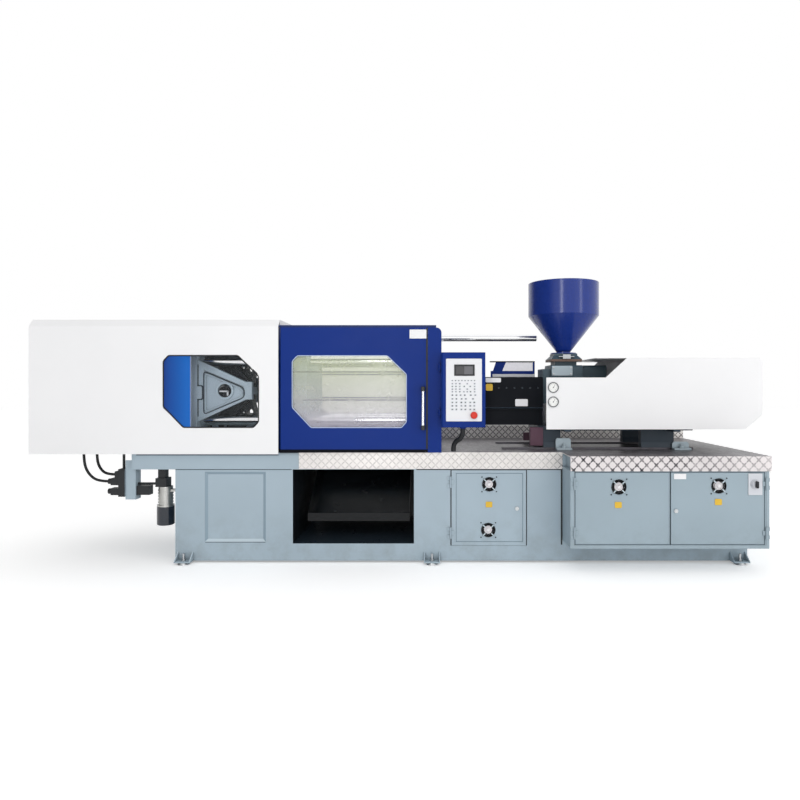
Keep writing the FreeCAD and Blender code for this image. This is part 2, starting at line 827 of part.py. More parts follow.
def door_rails():
    rails = []
    for side in (-1, 1):
        y0, y1 = sorted((side * (door_face - 3), side * (door_face - 37)))
        upper = block(rail_left, door_right + 60, y0, y1, door_top + running_gap, door_top + rail_height)
        low = bed_top + cover_sheet
        lower = block(rail_left, deck_left, y0, y1, low, door_bottom - running_gap)
        lower_right = block(deck_left, door_right, y0, y1, bed_top + tread, door_bottom - running_gap)
        y0, y1 = sorted((side * (door_face - 15), side * (door_face - 75)))
        hanger = block(cover_right - 34, cover_right - 4, y0, y1,
                       door_top + rail_height, door_top + rail_height + 6)
        rails.append(joined(upper, hanger))
        rails.append(joined(lower, lower_right))
    return rails


def clamp_cover():
    def section(inset):
        y, z = cover_y - inset, cover_top - inset
        c = cover_chamfer - inset * 0.4
        low = cover_bottom - (1 if inset else 0)
        return [(-y, low), (-y, z - c), (-y + c, z), (y - c, z), (y, z - c), (y, low)]
    outer = plate_yz(section(0), cover_left, cover_right)
    inner = plate_yz(section(cover_sheet), cover_left + cover_sheet, cover_right + 1)
    window = plate_xz(window_outline(cover_window, cover_window_cut, 0),
                      -cover_y - 1, cover_y + 1)
    shell = outer.cut([inner, window])
    lip_y = cover_y - cover_chamfer
    flanges = [block(cover_right - cover_sheet, cover_right, -lip_y, lip_y,
                     cover_top - cover_lip, cover_top - 1)]
    for side in (-1, 1):
        y0, y1 = sorted((side * (cover_y - 1), side * (cover_y - cover_flange)))
        flanges.append(block(base_left - bed_overhang, cover_right, y0, y1, bed_top, bed_top + cover_sheet))
    return joined(shell, *flanges)


def clamp_windows():
    """Panes behind the front and rear windows of the cover."""
    outline = window_outline(cover_window, cover_window_cut, pane_lap)
    y = cover_y - cover_sheet
    return plate_xz(outline, -y, -y + pane), plate_xz(outline, y - pane, y)


def sliding_door(side):
    """Welded door frame with a stepped rebate that holds the pane from inside."""
    y_out, y_in = side * door_face, side * (door_face - door_depth)
    frame = block(door_left, door_right, min(y_out, y_in), max(y_out, y_in), door_bottom, door_top)
    frame = chamfer_along(frame, V(0, 0, 1), 6)
    sight = plate_xz(window_outline(door_window, door_window_cut, 0),
                     min(y_out, y_in) - 1, max(y_out, y_in) + 1)
    step = side * (door_face - 12)
    rebate = plate_xz(window_outline(door_window, door_window_cut, pane_lap + 1),
                      min(step, y_in - side), max(step, y_in - side))
    y0, y1 = sorted(side * (door_face - deep) for deep in door_bar_deep)
    bars = [block(door_window[0] - pane_lap - 2, door_window[1] + pane_lap + 2, y0, y1,
                  z - door_bar_half, z + door_bar_half) for z in door_bars]
    return joined(frame.cut([sight, rebate]), *bars)


def door_pane(side):
    y0, y1 = sorted((side * (door_face - 12), side * (door_face - 12 - pane)))
    return plate_xz(window_outline(door_window, door_window_cut, pane_lap), y0, y1)


def door_handle(side):
    y = side * (door_face + handle_out)
    grip = rod_z(handle_x, y, handle_low, handle_high, handle_r)
    stands = []
    for z0, z1 in ((handle_low - 6, handle_low + 26), (handle_high - 26, handle_high + 6)):
        y0, y1 = sorted((side * door_face, y + side * handle_r))
        stand = block(handle_x - 14, handle_x + 14, y0, y1, z0, z1)
        stands.append(chamfer_along(stand, V(0, 0, 1), 5))
    return joined(grip, *stands)


# ------------------------------------------------------------ platens

def tie_centres():
    return [(y, axis_z + z) for y in (-tie_y, tie_y) for z in (-tie_y, tie_y)]


def tie_bores(x0, x1, gap):
    return [rod_x(x0, x1, y, z, tie_r + gap) for y, z in tie_centres()]


def platen_plate(x0, x1):
    plate = block(x0, x1, -platen_half, platen_half, axis_z - platen_half, axis_z + platen_half)
    return chamfer_along(plate, V(1, 0, 0), platen_corner)


def mould_bolts(x0, x1):
    return [rod_x(x0, x1, y, axis_z + z, bolt_r) for y in (-bolt_y, bolt_y) for z in (-bolt_z, bolt_z)]


def platen_feet(x0, x1, low):
    top = axis_z - platen_half + 5
    return [block(x0, x1, min(a, b), max(a, b), low, top)
            for a, b in ((way_inner, way_outer), (-way_inner, -way_outer))]


fixed_back = fixed_face + fixed_thick
moving_face = fixed_face - daylight
moving_mid = moving_face - moving_plate
moving_back = moving_mid - moving_box
tail_front = moving_back - tail_gap
tail_back = tail_front - tail_thick


def fixed_platen():
    plate = platen_plate(fixed_face, fixed_back)
    foot = block(drop_right + 10, fixed_back - 10, -platen_half + 10, platen_half - 10,
                 bed_top, axis_z - platen_half + 5)
    throat = [(0, 0), (locating_r, 0), (locating_r, locating_deep),
              (nozzle_cone_r, fixed_thick), (0, fixed_thick)]
    cone = turned(throat, V(fixed_face, 0, axis_z), V(1, 0, 0))
    guide_z = axis_z + platen_half
    guide = block(fixed_face + 50, fixed_face + 150, bar_y - bar_block / 2, bar_y + bar_block / 2,
                  guide_z - 60, bar_z + bar_block / 2)
    bar_hole = rod_x(fixed_face, fixed_back, bar_y, bar_z, bar_r + bore_gap)
    body = joined(plate, foot, guide)
    body = body.cut([cone, bar_hole] + tie_bores(fixed_face - 1, fixed_back + 1, running_gap)
                    + mould_bolts(fixed_face - 1, fixed_face + bolt_deep))
    rod_end = carriage_left - pull_end - carriage_travel - 8
    rods = [rod_x(fixed_back, rod_end, y, pull_z, pull_rod_r) for y in (-pull_y, pull_y)]
    return [body] + rods


def tie_bars():
    bars = []
    for y, z in tie_centres():
        bar = rod_x(tie_end_left, fixed_back + nut_thick, y, z, tie_r)
        nut = rod_x(fixed_back, fixed_back + nut_thick, y, z, nut_r)
        bars.append(joined(bar, nut))
    return bars


def tail_platen():
    plate = platen_plate(tail_back, tail_front)
    feet = platen_feet(tail_back + 5, tail_front - 5, bed_top + way_height + running_gap)
    recess = block(tail_front - 26, tail_front + 1, -cross_out_y - 12, cross_out_y + 12,
                   axis_z - cross_pin_off - small_link_r - 12, axis_z + cross_pin_off + small_link_r + 12)
    rod_hole = rod_x(tail_back - 1, tail_front, 0, axis_z, piston_rod_r + bore_gap)
    body = joined(plate, *feet).cut([recess, rod_hole] + tie_bores(tail_back - 1, tail_front + 1, bore_gap))
    lugs = []
    for side in (-1, 1):
        z = axis_z + side * toggle_out
        pin_x = tail_front + pin_stand
        lug = slot_plate((tail_front - 5, z), (pin_x, z), link_r, -front_half_y, front_half_y)
        lug = lug.common(block(tail_front - 4, tail_front + 300, -200, 200, 0, 3000))
        lugs.append(lug)
        lugs.append(rod_y(pin_x, -rear_out_y - 4, rear_out_y + 4, z, pin_r))
    nuts = []
    for y, z in tie_centres():
        nuts.append(rod_x(tail_back - nut_thick, tail_back, y, z, nut_r))
    body = joined(body, *lugs, *nuts).cut(tie_bores(tail_back - nut_thick - 1, tail_back, bore_gap))
    rods = [rod_x(tail_front - 26, tail_front + bridge_x, y, axis_z, guide_rod_r)
            for y in (-guide_rod_y, guide_rod_y)]
    bridge = block(tail_front + bridge_x, tail_front + bridge_x + bridge_thick,
                   -casting_in_y, casting_in_y, axis_z - bridge_half_z, axis_z + bridge_half_z)
    return [body] + rods + [bridge, side_casting(-1), side_casting(1)]


def side_casting(side):
    """Tapered side plate with a sunk field, a thick rim and a round eye."""
    y0, y1 = sorted((side * casting_in_y, side * casting_out_y))
    x0, x1 = tail_front, tail_front + casting_reach
    outline = [(x0, axis_z - casting_root), (x1 - casting_nose, axis_z - casting_tip),
               (x1, axis_z - casting_tip), (x1, axis_z + casting_tip),
               (x1 - casting_nose, axis_z + casting_tip), (x0, axis_z + casting_root)]
    plate = plate_xz(outline, y0, y1)
    eye_x = tail_front + casting_eye_x
    field = [(x0 + 50, axis_z - casting_root + 75), (x1 - 60, axis_z - casting_tip + 34),
             (x1 - 60, axis_z + casting_tip - 34), (x0 + 50, axis_z + casting_root - 75)]
    sunk0, sunk1 = sorted((side * casting_out_y, side * (casting_out_y - casting_field)))
    sunk = plate_xz(field, sunk0, sunk1)
    boss = rod_y(eye_x, sunk0, sunk1, axis_z, casting_eye_r + 16)
    eye = rod_y(eye_x, y0 - 1, y1 + 1, axis_z, casting_eye_r)
    return plate.cut(sunk).fuse(boss.common(plate)).cut(eye).removeSplitter()


def clamp_cylinder():
    x0, x1 = tail_back - cylinder_length, tail_back
    head = block(x1 - cylinder_head, x1, -cylinder_r - 15, cylinder_r + 15,
                 axis_z - cylinder_r - 15, axis_z + cylinder_r + 15)
    rear = block(x0, x0 + cylinder_head, -cylinder_r - 15, cylinder_r + 15,
                 axis_z - cylinder_r - 15, axis_z + cylinder_r + 15)
    tube = rod_x(x0, x1, 0, axis_z, cylinder_r)
    bore = rod_x(x0 + cylinder_head, x1 - cylinder_head, 0, axis_z, cylinder_bore)
    hole = rod_x(x1 - cylinder_head - 1, x1 + 1, 0, axis_z, piston_rod_r + bore_gap)
    studs = []
    for y in (-cylinder_r, cylinder_r):
        for z in (-cylinder_r, cylinder_r):
            studs.append(rod_x(x0 + 5, x1 - 5, y, axis_z + z, 10))
    return joined(head, rear, tube, *studs).cut([bore, hole])


def moving_platen():
    plate = platen_plate(moving_mid, moving_face)
    box_half_z = platen_half - 10
    box = block(moving_back, moving_mid + 1, -moving_box_half_y, moving_box_half_y,
                axis_z - box_half_z, axis_z + box_half_z)
    box = chamfer_along(box, V(0, 1, 0), 25)
    shoes = [block(moving_back + 60, moving_mid + 5, min(a, b), max(a, b),
                   bed_top + way_height + running_gap, axis_z - platen_half + 60)
             for a, b in ((way_inner - 60, way_outer), (-way_inner + 60, -way_outer))]
    feet = platen_feet(moving_mid, moving_face - 5, bed_top + way_height + running_gap)
    pocket = block(moving_back - 1, moving_back + pocket_deep, -pocket_half_y, pocket_half_y,
                   axis_z - pocket_half_z, axis_z + pocket_half_z)
    centre = rod_x(moving_back, moving_face + 1, 0, axis_z, ejector_rod_r + bore_gap)
    pins = [rod_x(moving_back + pocket_deep - 1, moving_back + pocket_deep + 150, y, axis_z,
                  ejector_pin_r + bore_gap) for y in (-ejector_pin_y, ejector_pin_y)]
    body = joined(plate, box, *shoes, *feet)
    body = body.cut([pocket, centre] + pins + tie_bores(moving_back - 1, moving_face + 1, bore_gap)
                    + mould_bolts(moving_face - bolt_deep, moving_face + 1))
    pin_x = tail_front + pin_stand + front_pin_x
    ears = []
    for side in (-1, 1):
        z = axis_z + side * toggle_out
        for y0, y1 in ((-rear_out_y, -rear_in_y), (rear_in_y, rear_out_y)):
            ears.append(slot_plate((pin_x, z), (moving_back + 5, z), link_r, y0, y1))
            cap0, cap1 = (y0 - 8, y0) if y0 < 0 else (y1, y1 + 8)
            ears.append(rod_y(pin_x, cap0, cap1, z, pin_r + 6))
    return joined(body, *ears)


def ejector():
    x0 = moving_back + 3
    plate = block(x0, x0 + ejector_thick, -ejector_half_y, ejector_half_y,
                  axis_z - ejector_half_z, axis_z + ejector_half_z)
    rod = rod_x(x0 + ejector_thick, moving_face - 3, 0, axis_z, ejector_rod_r)
    pins = [rod_x(x0 + ejector_thick, moving_back + pocket_deep + 40, y, axis_z, ejector_pin_r)
            for y in (-ejector_pin_y, ejector_pin_y)]
    return joined(plate, rod, *pins)


def safety_bar():
    x0 = moving_mid + 20
    bar = rod_x(x0, bar_right, bar_y, bar_z, bar_r)
    end = [e for e in bar.Edges if abs(e.CenterOfMass.x - bar_right) < 0.01]
    bar = bar.makeChamfer(bar_bevel, end)
    bracket = block(x0 + 10, moving_face - 20, bar_y - bar_block / 2, bar_y + bar_block / 2,
                    axis_z + platen_half, bar_z + bar_block / 2)
    bracket = chamfer_along(bracket, V(1, 0, 0), 8)
    return joined(bar, bracket)


# ------------------------------------------------------------ toggle links

rear_length = math.hypot(knee_x, knee_in)
rear_angle = math.degrees(math.atan2(knee_in, knee_x))
pivot_x = tail_front + pin_stand


def swung(x, inward, side):
    """A point given along and inward of the straight rear link, clamp open."""
    turn = math.radians(-rear_angle)
    px = x * math.cos(turn) + inward * math.sin(turn)
    pz = x * math.sin(turn) - inward * math.cos(turn)
    return pivot_x + px, axis_z + side * (toggle_out + pz)


def rear_link(side):
    root = (pivot_x, axis_z + side * toggle_out)
    knee = swung(rear_length, 0, side)
    arm = swung(cross_arm_x, cross_arm_in, side)
    plates = []
    for y0, y1 in ((-rear_out_y, -rear_in_y), (rear_in_y, rear_out_y)):
        web = plate_xz([root, knee, arm], y0, y1)
        plate = joined(slot_plate(root, knee, link_r, y0, y1),
                       slot_plate(root, arm, small_link_r, y0, y1),
                       slot_plate(knee, arm, small_link_r, y0, y1), web)
        plate = plate.cut([rod_y(root[0], y0 - 1, y1 + 1, root[1], pin_r + running_gap),
                           rod_y(knee[0], y0 - 1, y1 + 1, knee[1], pin_r + running_gap)])
        p0, p1 = (-cross_out_y - 3, y0) if y0 < 0 else (y1, cross_out_y + 3)
        plates.append(joined(plate, rod_y(arm[0], p0, p1, arm[1], small_pin_r)))
    return plates


def front_link(side):
    knee = swung(rear_length, 0, side)
    ear = (pivot_x + front_pin_x, axis_z + side * toggle_out)
    bar = slot_plate(knee, ear, link_r, -front_half_y, front_half_y)
    waist = [(knee[0] * 0.5 + ear[0] * 0.5, knee[1] * 0.5 + ear[1] * 0.5)]
    hole = rod_y(waist[0][0], -front_half_y - 1, front_half_y + 1, waist[0][1], 26)
    knee_pin = rod_y(knee[0], -rear_out_y - 3, rear_out_y + 3, knee[1], pin_r)
    ear_pin = rod_y(ear[0], -front_half_y - 3, front_half_y + 3, ear[1], pin_r)
    return joined(bar.cut(hole), knee_pin, ear_pin)


def cross_link_plates(side):
    arm = swung(cross_arm_x, cross_arm_in, side)
    off = arm[1] - axis_z - side * cross_pin_off
    end = (arm[0] - math.sqrt(cross_link ** 2 - off ** 2), axis_z + side * cross_pin_off)
    plates = []
    for y0, y1, p0, p1 in ((-cross_out_y, -cross_in_y, -cross_in_y, -rear_out_y - 1.5),
                           (cross_in_y, cross_out_y, rear_out_y + 1.5, cross_in_y)):
        plate = slot_plate(arm, end, small_link_r, y0, y1)
        plate = plate.cut(rod_y(arm[0], y0 - 1, y1 + 1, arm[1], small_pin_r + running_gap))
        plates.append(joined(plate, rod_y(end[0], p0, p1, end[1], small_pin_r)))
    return plates, end


def crosshead():
    _, end = cross_link_plates(1)
    x = end[0]
    half_z = cross_pin_off + small_link_r
    body = block(x - cross_half_x, x + cross_half_x, -rear_out_y, rear_out_y,
                 axis_z - half_z, axis_z + half_z)
    body = chamfer_along(body, V(0, 1, 0), 14)
    bores = [rod_x(x - 100, x + 100, y, axis_z, guide_rod_r + bore_gap)
             for y in (-guide_rod_y, guide_rod_y)]
    rod_end = tail_back - cylinder_length + cylinder_head + 30
    piston_rod = rod_x(rod_end, x, 0, axis_z, piston_rod_r)
    piston = rod_x(rod_end, rod_end + 40, 0, axis_z, cylinder_bore - bore_gap)
    return joined(body.cut(bores), piston_rod, piston)


# ------------------------------------------------------------ controller

def controller_box():
    """Sheet housing with a raised rim round the sunk fascia."""
    body = block(box_left, box_right, -box_front, -box_front + box_deep, box_bottom, box_top)
    body = chamfer_along(body, V(0, 0, 1), box_round)
    sunk = block(fascia_left, fascia_right, -box_front - 1, -box_front + fascia_sunk,
                 fascia_bottom, fascia_top)
    x0, x1, z0, z1 = screen
    glass = block(x0, x1, -box_front, -box_front + fascia_sunk + 3, z0, z1)
    stem = rod_y(stop_x, -box_front - 1, -box_front + 30, stop_z, stop_stem_r + running_gap)
    gland_at = conduit_route[0]
    gland = rod_z(gland_at.x, gland_at.y, gland_at.z, box_bottom, gland_r)
    body = joined(body.cut([sunk, glass, stem]), gland)
    knuckles = []
    for z in hinge_heights:
        eye = rod_z(hinge_x, hinge_y, z - 10, z + 10, hinge_r)
        arm = block(hinge_x, box_left + 12, hinge_y - hinge_r, hinge_y + 1, z - 10, z + 10)
        pin = rod_z(hinge_x, hinge_y, z - 11, z + 11, hinge_pin_r + running_gap)
        knuckles.append(joined(eye, arm).cut(pin))
    return joined(body, *knuckles)


def stop_button():
    face = -box_front + fascia_sunk
    profile = [(0, 12), (stop_stem_r, 12), (stop_stem_r, -8), (stop_r, -8),
               (stop_r, -14), (stop_r - 3, -21), (stop_r - 9, -25), (0, -26)]
    return turned([(r, -h) for r, h in profile], V(stop_x, face, stop_z), V(0, -1, 0))


def cord_path(points):
    """Straight runs joined by tangent arcs; prints the bend radii."""
    edges = []
    radii = []
    start = points[0]
    for i in range(1, len(points) - 1):
        a, p, b = points[i - 1], points[i], points[i + 1]
        u, w = (p - a).normalize(), (b - p).normalize()
        turn = u.getAngle(w)
        shorter = min((p - a).Length, (b - p).Length)
        radius = 0.45 * shorter / math.tan(turn / 2)
        cut = 0.45 * shorter
        first, last = p - u * cut, p + w * cut
        bisect = (w - u).normalize()
        centre = p + bisect * (radius / math.cos(turn / 2))
        middle = centre - bisect * radius
        edges.append(Part.LineSegment(start, first).toShape())
        edges.append(Part.Arc(first, middle, last).toShape())
        radii.append(round(radius))
        start = last
    edges.append(Part.LineSegment(start, points[-1]).toShape())
    print("bend radii", radii)
    return Part.Wire(edges)


def tube_along(points, r):
    path = cord_path(points)
    direction = (points[1] - points[0]).normalize()
    ring = Part.Wire(Part.makeCircle(r, points[0], direction))
    tube = path.makePipeShell([ring], True, False)
    wanted = math.pi * r * r * path.Length
    print("tube volume against section x length: %.4f" % (tube.Volume / wanted))
    return tube


# ------------------------------------------------------------ injection unit

def injection_rails():
    """Two flat ways on the deck."""
    low = bed_top + tread
    return [block(inj_rail_left, inj_rail_right, y - inj_rail_half, y + inj_rail_half,
                  low, low + inj_rail_height) for y in (-inj_rail_y, inj_rail_y)]


def clamp_shoe(left, right, high, side):
    """Angle that holds a foot down on its way, with a jacking screw and nut."""
    inner = inj_rail_y + inj_rail_half + foot_flange
    low = bed_top + tread + running_gap
    y0, y1 = sorted((side * inner, side * (inner + shoe_out)))
    plate = block(left, right, y0, y1, low, low + shoe_plate)
    y0, y1 = sorted((side * inner, side * (inner + shoe_plate)))
    angle = chamfer_along(block(left, right, y0, y1, low, high), V(0, 1, 0), 12)
    middle = (left + right) / 2
    screw_y = side * (inner + shoe_out * 0.55)
    bolt = rod_z(middle, screw_y, low, low + 46, shoe_nut_r * 0.5)
    nut = rod_z(middle, screw_y, low + shoe_plate, low + shoe_plate + 16, shoe_nut_r)
    return joined(plate, angle, bolt, nut)


def injection_carriage():
    low = bed_top + tread + inj_rail_height + running_gap
    top = carriage_low + carriage_thick
    plate = block(carriage_left, carriage_right, -carriage_half_y, carriage_half_y,
                  carriage_low, top)
    feet = []
    for x0, x1 in (front_foot, rear_foot):
        for y in (-inj_rail_y, inj_rail_y):
            wide, narrow = inj_rail_half + foot_flange, inj_rail_half + 2
            outline = [(y - wide, low), (y + wide, low), (y + narrow, low + 40), (y + narrow, carriage_low),
                       (y - narrow, carriage_low), (y - narrow, low + 40)]
            feet.append(plate_yz(outline, x0, x1))
    stops = [block(front_block[0], front_foot[0], y - inj_rail_half, y + inj_rail_half,
                   low + 12, low + front_block[1]) for y in (-inj_rail_y, inj_rail_y)]
    feet += [chamfer_along(stop, V(0, 0, 1), 8) for stop in stops]
    feet += [clamp_shoe(*span, side) for span in shoe_spans for side in (-1, 1)]
    arms = [block(x, x + arm_wide, -shell_y + shell_sheet, shell_y - shell_sheet, carriage_low, top)
            for x in arm_starts]
    saddle = block(feed_left, feed_right, -feed_half_y, feed_half_y, top, axis_z - 120)
    wall_y = guard_half_y - guard_narrow - guard_sheet - running_gap
    front_wall = block(carriage_left, carriage_left + 36, -wall_y, wall_y, top, pull_z + 60)
    bed = joined(plate, *feet, *arms, saddle, front_wall)
    pulls = []
    for y in (-pull_y, pull_y):
        tube = rod_x(pull_left, carriage_left, y, pull_z, pull_r)
        bore = rod_x(pull_left - 1, carriage_left - pull_end, y, pull_z, pull_rod_r + bore_gap)
        ring = rod_x(pull_left, pull_left + 30, y, pull_z, pull_r + 8)
        pulls.append(joined(tube, ring).cut(bore))
    cylinders = []
    for y in (-inj_y, inj_y):
        tube = joined(rod_x(inj_left, inj_right, y, axis_z, inj_r),
                      rod_x(inj_right - 30, inj_right, y, axis_z, inj_r + 10))
        bore = rod_x(inj_left + 20, inj_right + 1, y, axis_z, inj_rod_r + bore_gap)
        cylinders.append(tube.cut(bore))
    return [bed] + pulls + cylinders


def barrel():
    tube = rod_x(barrel_left, barrel_right, 0, axis_z, barrel_r)
    bore = rod_x(barrel_left + 60, barrel_right + 1, 0, axis_z, screw_r + bore_gap)
    bands = []
    for i in range(band_count):
        x = band_first + i * band_pitch
        band = rod_x(x, x + band_width, 0, axis_z, band_r)
        bands.append(band.cut(rod_x(x - 1, x + band_width + 1, 0, axis_z, barrel_r + 0.05)))
    profile = [(0, 0), (nozzle_r + 14, 0), (nozzle_r + 14, 26), (nozzle_r, 26),
               (nozzle_r, 58), (13, barrel_left - nozzle_tip), (0, barrel_left - nozzle_tip)]
    nozzle = turned(profile, V(barrel_left, 0, axis_z), V(-1, 0, 0))
    return [joined(tube).cut(bore)] + bands + [nozzle]


def barrel_guard():
    """Dark sheet cover over the barrel with a narrower lower skirt."""
    narrow = guard_half_y - guard_narrow

    def section(inset, low):
        return [(-narrow + inset, low), (-narrow + inset, guard_step),
                (-guard_half_y + inset, guard_step + 10), (-guard_half_y + inset, guard_top - 12),
                (-guard_half_y + 12 + inset * 0.4, guard_top - inset),
                (guard_half_y - 12 - inset * 0.4, guard_top - inset),
                (guard_half_y - inset, guard_top - 12), (guard_half_y - inset, guard_step + 10),
                (narrow - inset, guard_step), (narrow - inset, low)]
    outer = plate_yz(section(0, guard_bottom), guard_left, guard_right)
    inner = plate_yz(section(guard_sheet, guard_bottom - 1), guard_left + guard_sheet, guard_right + 1)
    mouth = rod_x(guard_left - 1, guard_left + guard_sheet + 1, 0, axis_z, band_r + 12)
    pulls = [rod_x(guard_left - 1, guard_left + guard_sheet + 1, y, pull_z, pull_rod_r + 6)
             for y in (-pull_y, pull_y)]
    return outer.cut([inner, mouth] + pulls), *splash_screen()


def splash_screen():
    """Frame with a slanted end bar along the guard's rear edge, and its pane."""
    y0, y1 = screen_y, screen_y + screen_sheet
    strip_end, top_a, top_b, foot_a, foot_b = screen_lean
    rail = block(foot_a, guard_right, y0, y1, guard_top, guard_top + screen_rail)
    strip = block(strip_end, guard_right, y0, y1, screen_top - screen_strip, screen_top)
    bar = plate_xz([(foot_a, guard_top), (foot_b, guard_top),
                    (top_b, screen_top - screen_strip), (top_a, screen_top - screen_strip)], y0, y1)
    stile = block(guard_right - screen_strip * 2, guard_right, y0, y1, guard_top, screen_top)
    pane_low, pane_high = guard_top + screen_rail, screen_top - screen_strip
    slope = (top_b - foot_b) / (pane_high - guard_top)
    clear = plate_xz([(foot_b + slope * screen_rail, pane_low), (guard_right - screen_strip * 2, pane_low),
                      (guard_right - screen_strip * 2, pane_high), (top_b, pane_high)], y0 + 2, y1 - 2)
    return joined(rail, strip, bar, stile), clear


def injection_cover():
    right = length / 2
    nose_x, nose_z = shell_nose
    s = shell_sheet
    outline = [(shell_left, shell_bottom), (right - nose_x - 15, shell_bottom),
               (right - 11, shell_bottom + nose_z), (right, shell_bottom + nose_z + 20),
               (right, shell_top - 24), (right - 24, shell_top), (shell_step_b, shell_top),
               (shell_step_a, shell_low_top), (shell_left, shell_low_top)]
    hollow = [(shell_left - 1, shell_bottom - 1), (right - nose_x - 15 - s, shell_bottom - 1),
              (right - 11 - s, shell_bottom + nose_z + s * 0.4), (right - s, shell_bottom + nose_z + 20),
              (right - s, shell_top - 24 - s * 0.4), (right - 24 - s * 0.4, shell_top - s),
              (shell_step_b, shell_top - s), (shell_step_b, shell_top + 1),
              (shell_left - 1, shell_top + 1)]
    shell = plate_xz(outline, -shell_y, shell_y).cut(plate_xz(hollow, -shell_y + s, shell_y - s))
    lid = block(shell_lid_left, shell_step_b + 1, -shell_y, shell_y, shell_top - s, shell_top)
    shell = joined(shell, lid)
    holes = [rod_y(gauge_x, -shell_y - 1, -shell_y + s + 1, z, gauge_r - 4) for z in gauge_heights]
    return shell.cut(holes)


def pressure_gauges():
    gauges = []
    for z in gauge_heights:
        profile = [(0, -26), (gauge_r - 5, -26), (gauge_r - 5, 0), (gauge_r, 0),
                   (gauge_r, gauge_out), (gauge_r - 5, gauge_out), (gauge_r - 5, gauge_out - 4),
                   (0, gauge_out - 4)]
        gauges.append(turned(profile, V(gauge_x, -shell_y, z), V(0, -1, 0)))
    return gauges


def hopper():
    rim = total_height
    shoulder = rim - hopper_cylinder
    low = hopper_base_top()
    s = hopper_sheet
    profile = [(hopper_neck_r, low), (hopper_flange_r, low), (hopper_flange_r, low + 8),
               (hopper_neck_r + s, low + 8), (hopper_neck_r + s, hopper_cone_low + 12),
               (hopper_r, shoulder), (hopper_r, rim), (hopper_r - s, rim),
               (hopper_r - s, shoulder + 1), (hopper_neck_r, hopper_cone_low + 13)]
    return turned([(r, z - low) for r, z in profile], V(hopper_x, 0, low), V(0, 0, 1))


def hopper_base_top():
    return hopper_cone_low - 4


def hopper_base():
    """Flared cast base with the slot that the slide gate runs in."""
    low, high = hopper_base_low, hopper_base_top()
    half_low, half_high = base_flare / 2, base_top_half
    rings = []
    for half, z in ((half_low, low), (half_low, low + 18), (half_high, low + 48), (half_high, high)):
        corners = [V(hopper_x - half, -half, z), V(hopper_x + half, -half, z),
                   V(hopper_x + half, half, z), V(hopper_x - half, half, z)]
        rings.append(Part.makePolygon(corners + corners[:1]))
    body = Part.makeLoft(rings, True, True)
    throat = rod_z(hopper_x, 0, low - 1, high + 1, throat_r)
    slot = block(hopper_x - gate_half_x - bore_gap, hopper_x + gate_half_x + bore_gap,
                 -half_low - 1, gate_half_x + 4, gate_z - bore_gap, gate_z + gate_thick + bore_gap)
    return body.cut([throat, slot])


def hopper_gate():
    outer = -base_flare / 2 - 4
    blade = block(hopper_x - gate_half_x, hopper_x + gate_half_x, outer, gate_half_x + 2,
                  gate_z, gate_z + gate_thick)
    tab = block(hopper_x - gate_half_x / 2, hopper_x + gate_half_x / 2, outer - 6, outer,
                gate_z - 14, gate_z + gate_thick + 14)
    return joined(blade, tab)


def feed_housing():
    low = axis_z - 120
    body = block(feed_left, feed_right, -feed_half_y, feed_half_y, low, feed_top)
    body = chamfer_along(body, V(1, 0, 0), 18)
    barrel_hole = rod_x(feed_left - 1, feed_right + 1, 0, axis_z, barrel_r + 0.05)
    throat = rod_z(hopper_x, 0, axis_z, feed_top + 1, throat_r)
    neck = block(hopper_x - 85, hopper_x + 85, -85, 85, feed_top, hopper_base_low)
    neck = neck.cut(rod_z(hopper_x, 0, feed_top - 1, hopper_base_low + 1, throat_r))
    cross = block(feed_right, inj_left, -inj_y - inj_r - 8, inj_y + inj_r + 8,
                  axis_z - 80, axis_z + 80)
    cross = cross.cut(rod_x(feed_right - 1, inj_left + 1, 0, axis_z, screw_r + 12))
    front = block(feed_left - 60, feed_left, -feed_half_y + 20, feed_half_y - 20,
                  axis_z - 100, feed_top - 30)
    body = joined(body, front, cross, neck)
    ring = rod_x(feed_left - 61, feed_left + 1, 0, axis_z, barrel_r + 0.05)
    tower = block(inj_left, inj_left + 175, -80, 80, axis_z + 90, feed_top)
    tower = chamfer_along(tower, V(1, 0, 0), 16)
    link = block(feed_right - 1, inj_left + 1, -80, 80, axis_z + 90, feed_top - 20)
    body = joined(body, tower, link).cut([barrel_hole, throat, ring])
    return body, hopper_base()


def screw_drive():
    """Bearing plate on the injection rods with the hydraulic motor behind it."""
    plate = block(drive_x, drive_x + drive_thick, -inj_y - 55, inj_y + 55, axis_z - 75, axis_z + 75)
    plate = chamfer_along(plate, V(1, 0, 0), 30)
    hole = rod_x(drive_x - 1, drive_x + drive_thick + 1, 0, axis_z, screw_r + running_gap)
    motor = rod_x(drive_x + drive_thick, drive_x + drive_thick + motor_length, 0, axis_z, motor_r)
    cap = rod_x(drive_x + drive_thick + motor_length, drive_x + drive_thick + motor_length + 40,
                0, axis_z, motor_r - 22)
    shaft_hole = rod_x(drive_x + drive_thick - 1, drive_x + drive_thick + 60, 0, axis_z,
                       screw_r + running_gap)
    rods = [rod_x(inj_left + 30, drive_x, y, axis_z, inj_rod_r) for y in (-inj_y, inj_y)]
    shoe = block(drive_x, drive_x + drive_thick, -60, 60, carriage_low + carriage_thick + running_gap,
                 axis_z - 70)
    return joined(plate, motor, cap, shoe, *rods).cut([hole, shaft_hole])


